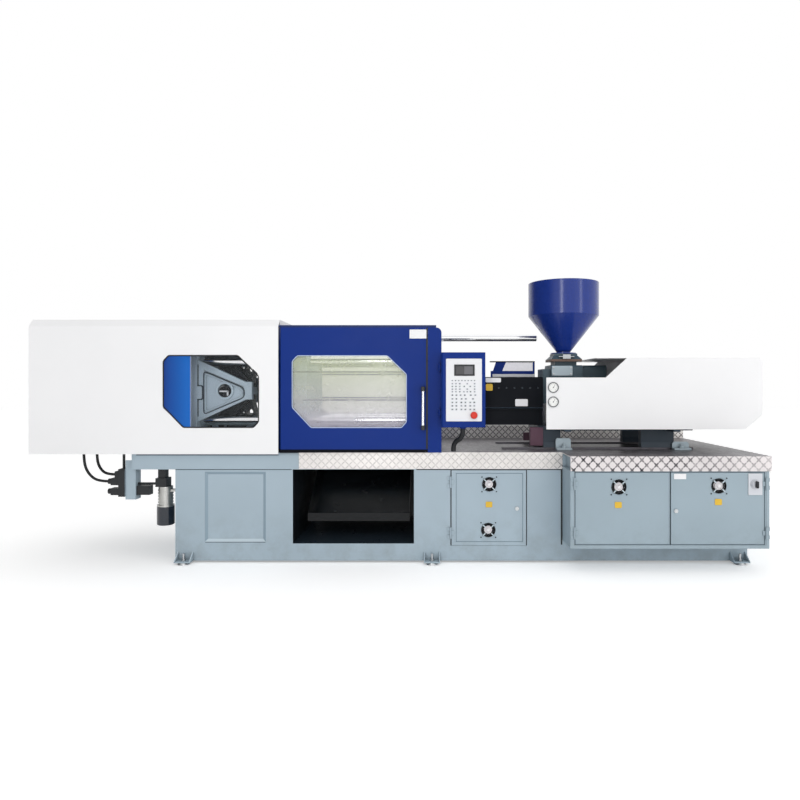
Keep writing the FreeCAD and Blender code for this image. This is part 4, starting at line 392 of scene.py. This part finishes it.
# Fans: 120 mm axial fans behind the doors. A white disc is stuck on each rotor's hub, four pale
# arms carry the finger guard, and black pan-head screws hold the frame at its corners.
finish(abs_black, "fan_rotor_1", "fan_rotor_2", "fan_rotor_3", "fan_rotor_4")
hub_white = enamel("hub_disc", "#FBF6FA", rough=0.35, peel=0.05, tone=0.02)
arm_paint = enamel("guard_arm", "#C3D2D9", rough=0.42, peel=0.05, tone=0.02)
upright = Matrix.Rotation(math.pi / 2, 4, "X")
screw_pitch = 0.105
for number, (door, body, x, z, front) in enumerate(fans, 1):
    disc = bmesh.new()
    bmesh.ops.create_cone(disc, cap_ends=True, segments=40, radius1=0.0293, radius2=0.0293, depth=0.002,
                          matrix=Matrix.Translation((x, front + 0.0195, z)) @ upright)
    outer = min(disc.faces, key=lambda side: side.calc_center_median().y)
    bmesh.ops.bevel(disc, geom=list(outer.edges), offset=0.0006, offset_type="OFFSET", segments=2,
                    profile=0.5, affect="EDGES", material=-1)
    outer = min(disc.faces, key=lambda side: side.calc_center_median().y)
    bmesh.ops.inset_region(disc, faces=[outer], thickness=0.0035, depth=-0.0005, use_even_offset=True)
    arms = bmesh.new()
    for turn in (45, 135, 225, 315):
        spot = Matrix.Translation((x, front - 0.0068, z)) @ Matrix.Rotation(math.radians(turn), 4, "Y")
        bmesh.ops.create_cube(arms, size=1.0, matrix=spot @ Matrix.Translation((0.0425, 0, 0))
                              @ Matrix.Diagonal((0.024, 0.0022, 0.0075, 1.0)))
    bmesh.ops.bevel(arms, geom=list(arms.edges), offset=0.0006, offset_type="OFFSET", segments=2,
                    profile=0.5, affect="EDGES", material=-1)
    heads = bmesh.new()
    for across in (-screw_pitch / 2, screw_pitch / 2):
        for rise in (-screw_pitch / 2, screw_pitch / 2):
            bmesh.ops.create_cone(heads, cap_ends=True, segments=20, radius1=0.0048, radius2=0.0034,
                                  depth=0.0028, matrix=Matrix.Translation(
                                      (x + across, front - 0.0012, z + rise)) @ upright)
    for name, shape, mat, carrier, slot in (
            ("fan_hub_%d", disc, hub_white, "fan_%d" % number, "cover_paint"),
            ("fan_arms_%d", arms, arm_paint, body, "base_paint"),
            ("fan_screws_%d", heads, abs_black, body, "dark_plastic")):
        mesh = bpy.data.meshes.new(name % number)
        shape.to_mesh(mesh)
        shape.free()
        mesh.materials.append(mat)
        piece = bpy.data.objects.new(name % number, mesh)
        bpy.context.scene.collection.objects.link(piece)
        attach(piece, carrier)

# Inside the cabinet and the base: a zinc-plated back plate with dark and white control gear, and
# the pump motor in blue machine enamel over a rough casting.
gear_dark = enamel("gear_dark", "#3A3D42", rough=0.45, peel=0.1)
gear_left, gear_right, gear_low, gear_row, gear_high = 1.225, 2.465, 0.2, 0.43, 0.66
gear_front, gear_back, plate_back = -0.5405, -0.4805, -0.4755
finish_faces("electrical_cabinet", zinc_plate, lambda c, n: gear_left < c.x < gear_right
             and gear_low < c.z < gear_high and gear_back < c.y < plate_back)
for low, high, mat in ((gear_low, gear_row, gear_dark), (gear_row, gear_high, white_plate)):
    finish_faces("electrical_cabinet", mat, lambda c, n, low=low, high=high: gear_left < c.x < gear_right
                 and low < c.z < high and gear_front < c.y < gear_back)
finish(enamel("motor_enamel", "#3E566B", rough=0.4, peel=0.3), "pump_motor")

# Clamp unit: platens and tail castings are rough cast iron under grey-blue enamel, and the toggle
# links under black. The sand-cast skin shows as a coarse peel.
cast_enamel = enamel("cast_enamel", "#B0C1CE", rough=0.5, peel=0.5, tone=0.07)
finish(cast_enamel, "fixed_platen", "moving_platen", "tail_platen")
link_enamel = enamel("link_enamel", "#20262C", rough=0.45, peel=0.4, shine=0.3)
finish(link_enamel, "upper_rear_link", "lower_rear_link", "upper_front_link", "lower_front_link",
       "upper_crosshead_link", "lower_crosshead_link")


# Clamp castings: a raised bead runs round the sunk field of each casting, ringed by a dark strip
# of painted shadow. The root carries a raised lug ringed by painted shadow, and the eye a black disc
# of painted shade with a bright tee of painted highlight on the pin in it.
def bead(name, body, mat, points, radius):
    """A closed round bead through points."""
    curve = bpy.data.curves.new(name, "CURVE")
    curve.dimensions = "3D"
    curve.bevel_depth = radius
    curve.bevel_resolution = 2
    line = curve.splines.new("POLY")
    line.points.add(len(points) - 1)
    for point, place in zip(line.points, points):
        point.co = (*place, 1.0)
    line.use_cyclic_u = True
    piece = bpy.data.objects.new(name, curve)
    bpy.context.scene.collection.objects.link(piece)
    curve.materials.append(mat)
    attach(piece, body)


def rounded(corners, radius, y):
    """Points of a closed XZ outline at depth y, with each corner rounded off."""
    points, steps = [], 5
    for i, here in enumerate(corners):
        a, p, b = Vector(corners[i - 1]), Vector(here), Vector(corners[(i + 1) % len(corners)])
        start, stop = p + (a - p).normalized() * radius, p + (b - p).normalized() * radius
        for step in range(steps + 1):
            t = step / steps
            flat = start * (1 - t) ** 2 + p * 2 * t * (1 - t) + stop * t ** 2
            points.append((flat.x, y, flat.y))
    return points


# Dark strips of painted shadow beside the beads and round the lug, and the seam line between casting and
# platen.
groove_and_shadow = enamel("casting_groove", "#2E3A44", rough=0.6)
guard_enamel = enamel("guard_enamel", "#0A0E15", rough=0.55, peel=0.12, shine=0.12)
for side, name in ((-1, "front"), (1, "rear")):
    for part, radius, shrink, mat in (("bead_shadow_", 0.0035, -0.004, groove_and_shadow),
                                      ("bead_", 0.006, 0.007, cast_enamel)):
        field = [(-1.4665 + shrink, 1.066 + shrink * 1.6), (-1.1715 - shrink, 1.190 + shrink * 0.7),
                 (-1.1715 - shrink, 1.254 - shrink * 0.7), (-1.4665 + shrink, 1.378 - shrink * 1.6)]
        bead("casting_" + part + name, "tail", mat,
             rounded(field, 0.03, side * (0.3155 - shrink * 0.2)), radius)
plates("casting_seam", "tail", groove_and_shadow, [(-1.5205, -1.5085, 1.045, 1.432)],
       front=-0.3166, deep=0.0012)
plates("casting_lug_shadow", "tail", groove_and_shadow, [(-1.561, -1.474, 1.168, 1.278)],
       front=-0.3175, deep=0.0021, corner=0.012)
plates("casting_lug", "tail", cast_enamel, [(-1.553, -1.482, 1.176, 1.270)],
       front=-0.3285, deep=0.0130, corner=0.012, edge=0.004)
# A black disc of painted shade in the eye, and a bright tee of painted highlight on the pin in it.
plates("casting_eye_shade", "tail", guard_enamel, [(-1.366, -1.265, 1.1715, 1.2725)],
       front=-0.3000, deep=0.0040, corner=0.0505, edge=0.0006)
plates("casting_key", "tail", silver_plate,
       [(-1.358, -1.292, 1.227, 1.238), (-1.303, -1.290, 1.200, 1.236)],
       front=-0.3030, deep=0.0026, corner=0.003, edge=0.0006)

# Clamp cover: a hood folded from sheet steel in white powder coat. Its inner faces are painted
# dark grey as painted shade. The same white coat covers the injection unit.
powder_white = enamel("powder_coat_white", "#F4F4F5", rough=0.36, peel=0.1, tone=0.015, corner_shade=0.3)
hood_inside_shade = enamel("hood_inside_shade", "#4E565C", rough=0.5, peel=0.2)
finish(powder_white, "clamp_cover", "injection_cover")
hood_middle, hood_end = Vector((-1.76, 0.0, 1.25)), -0.873
# Inner faces painted dark grey: painted shade.
finish_faces("clamp_cover", hood_inside_shade, lambda c, n: c.x < hood_end and n.dot(c - hood_middle) < -0.1)


# Clamp windows: clear acrylic in a rubber trim. The panes still have the blue protective film
# over their left part, brighter and thinner towards its right edge. Dust veils them a little.
def pane(name, code, alpha, film=None, low=None):
    """Clear plastic sheet: a dusty veil of this alpha, a film of a second colour on the left of
    film_edge, or a second colour towards the foot."""
    dusts = 3.5  # cells to a metre: dust lies in clouds 290 mm across
    film_left, film_edge, film_right = -1.69, -1.50, -1.49
    pane_foot, pane_top = 0.99, 1.44
    mat = bpy.data.materials.new(name)
    mat.use_nodes = True
    tree = mat.node_tree
    shader = tree.nodes["Principled BSDF"]
    where = add(tree, "TexCoord").outputs["Object"]
    dust = add(tree, "TexNoise", {"Vector": where, "Scale": dusts, "Detail": 7.0,
                                  "Roughness": 0.75}).outputs["Fac"]
    veil = add(tree, "MapRange", {"Value": dust, "From Min": 0.3, "From Max": 0.75,
                                  "To Min": alpha * 0.8, "To Max": alpha * 1.25}).outputs["Result"]
    colour = srgb(code)
    if film:
        x = add(tree, "SeparateXYZ", {"Vector": where}).outputs["X"]
        edge = add(tree, "MapRange", {"Value": x, "From Min": film_right,
                                      "From Max": film_edge}).outputs["Result"]
        thin = add(tree, "MapRange", {"Value": x, "From Min": film_left, "From Max": film_edge,
                                      "To Min": 0.97, "To Max": 0.80}).outputs["Result"]
        rise = add(tree, "MapRange", {"Value": x, "From Min": film_left,
                                      "From Max": film_edge - 0.02}).outputs["Result"]
        blue = add(tree, "MixRGB", {"Fac": rise, "Color1": srgb("#1B3F8E"),
                                    "Color2": srgb(film)}).outputs["Color"]
        colour = add(tree, "MixRGB", {"Fac": edge, "Color1": colour, "Color2": blue}).outputs["Color"]
        veil = add(tree, "MixRGB", {"Fac": edge, "Color1": veil, "Color2": thin}).outputs["Color"]
    if low:
        z = add(tree, "SeparateXYZ", {"Vector": where}).outputs["Z"]
        climb = add(tree, "MapRange", {"Value": z, "From Min": pane_foot,
                                       "From Max": pane_top}).outputs["Result"]
        colour = add(tree, "MixRGB", {"Fac": climb, "Color1": srgb(low), "Color2": colour}).outputs["Color"]
    if film or low:
        tree.links.new(colour, shader.inputs["Base Color"])
    else:
        shader.inputs["Base Color"].default_value = colour
    tree.links.new(veil, shader.inputs["Alpha"])
    shader.inputs["Roughness"].default_value = 0.12
    shader.inputs["Specular IOR Level"].default_value = 0.15
    return mat


finish(pane("filmed_acrylic", "#DDE4E6", 0.015, film="#1F6ECB"), "clamp_window")
window = [(-1.689, 1.124), (-1.546, 0.976), (-1.0445, 0.976), (-1.0085, 1.016), (-1.0085, 1.342),
          (-1.1565, 1.490), (-1.653, 1.490), (-1.689, 1.450)]
for side, name in ((-1, "front"), (1, "rear")):
    bead("cover_window_trim_" + name, "base", seal_rubber,
         rounded(window, 0.012, side * 0.5095), 0.005)

# Guard doors: blue powder-coated frames that slide between a top and a bottom rail, with an acrylic
# pane in a pale trim, a black seal at the closing edge and a chromed handle on black feet.
powder_blue = enamel("powder_coat_blue", "#0D2F7F", rough=0.38, peel=0.1, tone=0.05, shine=0.12)
rail_blue = enamel("rail_blue", "#1C2F63", rough=0.4, peel=0.1, shine=0.2)
rail_shade_black = enamel("rail_shade_black", "#090B12", rough=0.6, peel=0.1, shine=0.08)
finish(powder_blue, "front_door", "rear_door", "guard_posts")
# The door pane's yellow-green towards the top is painted light from a bright window seen through it.
finish(pane("door_acrylic", "#E8EFCB", 0.30, low="#E7E2EF"), "front_window")
finish(pane("rear_acrylic", "#E9EBDC", 0.42), "rear_window")
# The lower rail is painted near-black: painted shade under the doors.
finish_faces("door_rails", rail_shade_black, lambda c, n: c.z < 0.83)
finish_faces("door_rails", rail_blue, lambda c, n: c.z > 1.6)
door_face, handle_bar, handle_low, handle_high = 0.501, 0.512, 1.005, 1.222
finish_faces("rear_door", hard_chrome, lambda c, n: c.y > door_face)
for door, hold in (("front_door_handle", 0.0), ("rear_door", door_face)):
    finish_faces(door, abs_black, lambda c, n, hold=hold: abs(c.y) > hold and (
        c.z < handle_low or c.z > handle_high or abs(c.y) < handle_bar))
trim_pale = enamel("pale_trim", "#BCCBE6", rough=0.4)
pane_edge = [(-0.771, 1.118), (-0.636, 0.974), (0.011, 0.974), (0.047, 1.014), (0.047, 1.356),
             (-0.091, 1.489), (-0.735, 1.489), (-0.771, 1.449)]
for side, body, front in ((-1, "front_door", -0.5011), (1, "rear_door", 0.4996)):
    bead(body + "_trim", body, trim_pale, rounded(pane_edge, 0.012, side * 0.4995), 0.003)
    plates(body + "_seal", body, seal_rubber, [(0.1875, 0.1995, 0.822, 1.687)],
           front=front, deep=0.0015)
plates("door_label_plate", "front_door", white_plate, [(0.069, 0.190, 1.612, 1.676)],
       front=-0.5012, deep=0.0013, corner=0.004, edge=0.0003)

# Operator's controller: a blue box with a white membrane over its front, a grey display in a black
# rim, and rows of flat keys with plain marks. The stop button is glossy red plastic.
finish(powder_blue, "controller_box")
finish(enamel("stop_red", "#D8301F", rough=0.28, peel=0.03), "stop_button")
membrane = enamel("membrane", "#E9EAED", rough=0.3, peel=0.08, tone=0.01)
display_dark = enamel("display_dark", "#48484B", rough=0.18, peel=0.02, coat=0.4)
display_light = enamel("display_light", "#69696E", rough=0.18, peel=0.02, coat=0.4)
key_grey = enamel("key_grey", "#D4D8DE", rough=0.4, peel=0.1)
mark_grey = enamel("mark_grey", "#34373C", rough=0.5)
plates("controller_fascia", "controller", membrane, [(0.3275, 0.5785, 1.0245, 1.4635)],
       front=-0.5995, deep=0.0024, corner=0.006, edge=0.0006)
left, right, low, high, bar, lap = 0.385, 0.528, 1.343, 1.422, 0.012, 0.011
plates("display_rim", "controller", abs_black,
       [(left, left + bar, low, high), (right - bar, right, low, high),
        (left + lap, right - lap, high - lap, high), (left + lap, right - lap, low, low + lap)],
       front=-0.6022, deep=0.0026, corner=0.002, edge=0.0006)
for name, left, right, mat in (("display_left", 0.3965, 0.4555, display_dark),
                               ("display_right", 0.4558, 0.5165, display_light)):
    plates(name, "controller", mat, [(left, right, 1.3535, 1.4115)],
           front=-0.6003, deep=0.0007, edge=0.0001)
keys, marks = [], []
columns = (0.372, 0.400, 0.435, 0.463, 0.497, 0.525)
# Each row: its height, the middles of its keys, and their width and height.
key_rows = [(1.310, [0.372 + 0.0222 * i for i in range(8)], 0.015, 0.010),
            (1.288, (0.372, 0.397, 0.424, 0.476, 0.528), 0.016, 0.012),
            (1.269, (0.372, 0.397, 0.424, 0.455, 0.497, 0.528), 0.016, 0.012),
            (1.250, (0.372, 0.397, 0.424, 0.476, 0.528), 0.016, 0.012),
            (1.232, (0.372, 0.397, 0.424, 0.453, 0.476, 0.499, 0.528), 0.016, 0.012),
            (1.208, (0.372, 0.400, 0.430, 0.459, 0.501, 0.532), 0.019, 0.014),
            (1.182, (0.372, 0.400, 0.437, 0.466, 0.516), 0.019, 0.014),
            (1.157, columns, 0.019, 0.014), (1.133, columns, 0.019, 0.014), (1.108, columns, 0.019, 0.014)]
for row, (z, places, wide, tall) in enumerate(key_rows):
    for column, x in enumerate(places):
        keys.append((x - wide / 2, x + wide / 2, z - tall / 2, z + tall / 2))
        mark_wide = wide * (0.52, 0.4, 0.46)[(row + column) % 3]
        mark_tall = tall * (0.44, 0.6, 0.5)[(row * 2 + column) % 3]
        marks.append((x - mark_wide / 2, x + mark_wide / 2, z - mark_tall / 2, z + mark_tall / 2))
plates("controller_keys", "controller", key_grey, keys, front=-0.6004, deep=0.0010,
       corner=0.003, edge=0.0004)
plates("key_marks", "controller", mark_grey, marks, front=-0.6007, deep=0.0004, edge=0.0001)

# Injection carriage: a cast frame under dark enamel that slides on ground steel rails. Pale clamp
# shoes hold its feet, and a wine-red stop block is bolted under it before the front foot.
rail_steel = metal("rail_steel", "#66646A", 0.4, stain=0.5)
carriage_enamel = enamel("carriage_enamel", "#2A3743", rough=0.45, peel=0.3)
shoe_enamel = enamel("shoe_enamel", "#B2C1C9", rough=0.45, peel=0.2)
stop_enamel = enamel("stop_enamel", "#5A3B4B", rough=0.5, peel=0.3)
finish(rail_steel, "injection_rails")
finish(carriage_enamel, "injection_carriage")
finish_faces("injection_carriage", shoe_enamel, lambda c, n: abs(c.y) > 0.27 and c.z < 0.9)
finish_faces("injection_carriage", stop_enamel, lambda c, n: c.x < 1.069 and c.z < 0.92 and abs(c.y) < 0.26)
plates("stop_block", "carriage", stop_enamel, [(0.972, 1.0695, 0.8225, 0.960)],
       front=-0.2575, deep=0.0500, corner=0.004, edge=0.003)

# Barrel guard: a sheet steel box over the heater bands, black enamel, with a row of bolts and a
# ledge whose slanted faces are painted grey as a painted highlight. A splash screen with a clear
# pane stands on it in a blue frame, and plates mark its front.
guard_front, screen_front = -0.200, 0.177
screen_pane = pane("screen_acrylic", "#E9E6F2", 0.35)
ledge_highlight = enamel("ledge_highlight", "#4C5A67", rough=0.35)
finish(guard_enamel, "barrel_guard")
finish_faces("barrel_guard", powder_blue, lambda c, n: c.z > 1.3405 and 0.1775 < c.y < 0.1845)
finish_faces("barrel_guard", screen_pane, lambda c, n: 0.1795 < c.y < 0.1825 and abs(n.y) > square)
# The ledge's slanted faces in lighter grey: painted highlight.
finish_faces("barrel_guard", ledge_highlight,
             lambda c, n: n.y < -0.1 and abs(n.z) > 0.3 and c.y < 0 and c.z < 1.3)
plates("guard_ledge", "carriage", guard_enamel, [(0.632, 1.076, 1.089, 1.098)],
       front=guard_front - 0.004, deep=0.0042, corner=0.002, edge=0.0006)
bolt, bolt_row = 0.007, 1.257  # half a bolt head, and the row's height
plates("guard_bolts", "carriage", black_steel,
       [(x - bolt, x + bolt, bolt_row - bolt, bolt_row + bolt)
        for x in (0.74, 0.80, 0.86, 0.92, 0.98, 1.04)],
       front=guard_front - 0.0045, deep=0.0047, corner=0.0068, edge=0.001)
plates("guard_label_plates", "carriage", white_plate,
       [(0.640, 0.757, 1.300, 1.334), (0.866, 0.962, 1.118, 1.172)],
       front=guard_front - 0.0012, deep=0.0013, corner=0.006, edge=0.0003)
plates("guard_amber_plate", "carriage", amber_plate, [(0.642, 0.694, 1.236, 1.288)],
       front=guard_front - 0.0012, deep=0.0013, corner=0.010, edge=0.0003)
plates("screen_panel", "carriage", membrane, [(0.730, 1.076, 1.344, 1.370)],
       front=screen_front - 0.0004, deep=0.0012, corner=0.002, edge=0.0003)
plates("screen_edge", "carriage", guard_enamel, [(0.708, 1.078, 1.4665, 1.4765)],
       front=screen_front - 0.0015, deep=0.0022, corner=0.002, edge=0.0004)

# Hopper and feed throat: a rolled and welded sheet hopper in glossy blue, on a cast housing whose
# flange still shows its primer. Four zinc bolts hold a light cover in front of the throat.
hopper_blue = enamel("hopper_gloss", "#1A3485", rough=0.26, peel=0.05, shine=0.12, coat=0.65,
                     coat_rough=0.17)
housing_enamel = enamel("housing_enamel", "#43555F", rough=0.45, peel=0.4)
flange_primer = enamel("flange_primer", "#6A564C", rough=0.6, peel=0.4, tone=0.12)
finish(hopper_blue, "hopper")
finish(housing_enamel, "feed_housing")
finish_faces("feed_housing", flange_primer, lambda c, n: 1.4625 < c.z < 1.4815 and abs(n.z) < square)
plates("throat_cover", "carriage", shoe_enamel, [(1.158, 1.318, 1.352, 1.428)],
       front=-0.140, deep=0.0098, corner=0.006, edge=0.002)
plates("throat_bolts", "carriage", zinc_plate,
       [(x - bolt, x + bolt, z - bolt, z + bolt) for x in (1.172, 1.304) for z in (1.366, 1.414)],
       front=-0.1455, deep=0.006, corner=0.0062, edge=0.001)

# Pressure gauges: white dials with eleven plain ticks, a needle and its boss, each a printed disc
# under the pressed rim of its steel case.
finish(metal("gauge_rim", "#62666A", 0.25, depth=0.05), "pressure_gauges")
dial_white = enamel("dial_white", "#F4F4F2", rough=0.35, peel=0.02, tone=0.01)
gauge_x, dial_y, dial_radius, tick_stop = 1.117, -0.4064, 0.0328, 0.0295
first_tick, tick_step, needle_turn = 225, 27, 60
for number, z in enumerate((1.261, 1.156), 1):
    bm = bmesh.new()
    bmesh.ops.create_circle(bm, cap_ends=True, segments=48, radius=dial_radius,
                            matrix=Matrix.Translation((gauge_x, dial_y, z)) @ upright)
    prints = [(math.radians(first_tick - tick_step * tick), tick_stop - (0.005 if tick % 2 else 0.0075),
               tick_stop, 0.0009) for tick in range(11)]
    prints.append((math.radians(needle_turn), -0.006, 0.022, 0.0014))
    middle = Vector((gauge_x, dial_y - 0.0004, z))
    for turn, start, stop, half in prints:
        along = Vector((math.cos(turn), 0, math.sin(turn)))
        across = Vector((-math.sin(turn), 0, math.cos(turn)))
        corners = [middle + along * start - across * half, middle + along * stop - across * half * 0.6,
                   middle + along * stop + across * half * 0.6, middle + along * start + across * half]
        bm.faces.new([bm.verts.new(c) for c in corners]).material_index = 1
    boss = Matrix.Translation((gauge_x, dial_y - 0.0008, z)) @ upright
    boss = bmesh.ops.create_circle(bm, cap_ends=True, segments=16, radius=0.0035, matrix=boss)["verts"]
    boss[0].link_faces[0].material_index = 1
    mesh = bpy.data.meshes.new("gauge_dial_%d" % number)
    bm.to_mesh(mesh)
    bm.free()
    mesh.materials.append(dial_white)
    mesh.materials.append(mark_grey)
    dial = bpy.data.objects.new("gauge_dial_%d" % number, mesh)
    bpy.context.scene.collection.objects.link(dial)
    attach(dial, "carriage")

# Left end: a cast alloy lubrication pump with a smoked plastic reservoir, and a black valve block
# on a post of the base's own enamel, closed by a thin cover plate.
finish(metal("cast_alloy", "#B9B9B6", 0.38, marks=(8.0, 8.0, 8.0), depth=0.3), "lubrication_pump")
finish_faces("lubrication_pump", abs_black, lambda c, n: c.z > 0.536)
finish(enamel("smoked_plastic", "#141D2A", rough=0.15, coat=0.5), "lubrication_reservoir")
finish(abs_black, "valve_block")
finish_faces("valve_block", base_enamel, lambda c, n: -1.994 < c.x < -1.917 and c.z < 0.79)
plates("valve_post_cover", "base", base_enamel, [(-1.992, -1.919, 0.449, 0.734)],
       front=-0.4412, deep=0.0011, corner=0.004, edge=0.0004)

# Hoses and conduit: black rubber hoses from the bulkhead to the valve coils, and the controller's
# black conduit down to the deck. Each is a smooth line through its CAD route.
rubber = enamel("hose_rubber", "#15171A", rough=0.55, peel=0.3, tone=0.02)
smoothing = 0.985  # the smooth line is this much shorter than the straight runs
cords = {
    "controller_conduit": (0.035, (
        (0.449, -0.533, 0.970), (0.449, -0.533, 0.939), (0.441, -0.523, 0.911),
        (0.426, -0.504, 0.890), (0.408, -0.481, 0.880), (0.393, -0.462, 0.859),
        (0.385, -0.452, 0.831), (0.385, -0.452, 0.800))),
    "clamp_hose_outer": (0.019, (
        (-2.322, -0.390, 0.790), (-2.322, -0.390, 0.702), (-2.280, -0.396, 0.622),
        (-2.206, -0.410, 0.577), (-2.128, -0.410, 0.577))),
    "clamp_hose_inner": (0.019, (
        (-2.235, -0.372, 0.790), (-2.235, -0.372, 0.721), (-2.201, -0.386, 0.661),
        (-2.141, -0.410, 0.627), (-2.072, -0.410, 0.627))),
}
for name, (diameter, route) in cords.items():
    curve = bpy.data.curves.new(name + "_line", "CURVE")
    curve.dimensions = "3D"
    curve.bevel_depth = diameter / 2
    curve.bevel_resolution = 5
    curve.resolution_u = 10
    curve.use_fill_caps = True
    line = curve.splines.new("NURBS")
    line.points.add(len(route) - 1)
    for point, place in zip(line.points, route):
        point.co = (*place, 1.0)
    line.order_u = 3
    line.use_endpoint_u = True
    hose = bpy.data.objects.new(name + "_hose", curve)
    size = round(smoothing * sum((Vector(b) - Vector(a)).length for a, b in zip(route, route[1:])), 3)
    curve.materials.append(rubber)
    bpy.context.scene.collection.objects.link(hose)
    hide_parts(name)
    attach(hose, "base")

# Studio: a white paper floor, soft area lamps and an even sky. The background is white to the
# camera, in glass and, for the floor, in metal too, and the floor keeps the machine's shadow.
floor_paper = bpy.data.materials.new("floor_paper")
floor_paper.use_nodes = True
sweep = floor_paper.node_tree
paper = sweep.nodes["Principled BSDF"].inputs
paper["Base Color"].default_value = srgb("#FDFDFD")
paper["Roughness"].default_value = 0.9
paper["Emission Color"].default_value = (1, 1, 1, 1)
rays = add(sweep, "LightPath").outputs
seen = add(sweep, "Math", {0: rays["Is Glossy Ray"], 1: rays["Is Transmission Ray"]},
           operation="MAXIMUM").outputs[0]
seen = add(sweep, "Math", {0: seen, 1: rays["Is Camera Ray"]}, operation="MAXIMUM").outputs[0]
floor_glow = 0.29
glow = add(sweep, "Math", {0: seen, 1: floor_glow}, operation="MULTIPLY").outputs[0]
sweep.links.new(glow, paper["Emission Strength"])
bpy.ops.mesh.primitive_plane_add(size=60.0, location=(0, 0, -0.0005))
floor = bpy.context.active_object
floor.name = "studio_floor"
floor.data.materials.append(floor_paper)

world = bpy.data.worlds.new("studio")
bpy.context.scene.world = world
world.use_nodes = True
sky = world.node_tree
across = add(sky, "SeparateXYZ", {"Vector": add(sky, "TexCoord").outputs["Generated"]}).outputs["X"]
level = add(sky, "MapRange", {"Value": across, "From Min": -0.6, "From Max": -0.85,
                              "To Min": 1.0, "To Max": 0.08}).outputs["Result"]
rays = add(sky, "LightPath").outputs
seen = add(sky, "Math", {0: rays["Is Camera Ray"], 1: rays["Is Transmission Ray"]},
           operation="MAXIMUM").outputs[0]
sky_light = 0.78
lit = add(sky, "Math", {0: rays["Is Glossy Ray"], 1: 1 - sky_light, 2: sky_light},
          operation="MULTIPLY_ADD").outputs[0]
level = add(sky, "Math", {0: level, 1: lit}, operation="MULTIPLY").outputs[0]
level = add(sky, "Math", {0: level, 1: seen}, operation="MAXIMUM").outputs[0]
sky.links.new(level, sky.nodes["Background"].inputs["Strength"])
sky.nodes["Background"].inputs["Color"].default_value = (1.0, 1.0, 1.0, 1.0)
for name, place, size, watts in (("key", (2.2, -6.5, 5.0), (4.0, 3.0), 24),
                                 ("fill", (5.0, -5.0, 3.0), (3.0, 4.0), 10),
                                 ("top", (0.5, 1.0, 6.5), (6.0, 3.0), 22),
                                 ("streak_left", (-0.6, -6.2, 2.2), (0.6, 4.0), 62),
                                 ("streak_right", (5.1, -3.9, 2.2), (0.5, 4.0), 26)):
    lamp = bpy.data.lights.new(name, "AREA")
    lamp.shape = "RECTANGLE"
    lamp.size, lamp.size_y = size
    lamp.energy = watts
    holder = bpy.data.objects.new(name, lamp)
    holder.location = place
    holder.rotation_euler = (Vector((0, 0, 1.0)) - Vector(place)).to_track_quat("-Z", "Y").to_euler()
    bpy.context.scene.collection.objects.link(holder)

# Camera: level with the controller and square to the front, as in the photograph. The shift puts
# the machine where it stands in the photograph's frame of 800 by 800.
photo_size, right_shift, down_shift = 800, -30, -14
view = bpy.data.cameras.new("photo_view")
view.sensor_width = 36.0
view.lens = 28.26
view.shift_x = right_shift / photo_size
view.shift_y = down_shift / photo_size
view.clip_end = 100
camera = bpy.data.objects.new("photo_view", view)
camera.location = (0.2155, -4.994, 1.272)
camera.rotation_euler = (math.radians(90), 0, 0)
bpy.context.scene.collection.objects.link(camera)
bpy.context.scene.camera = camera
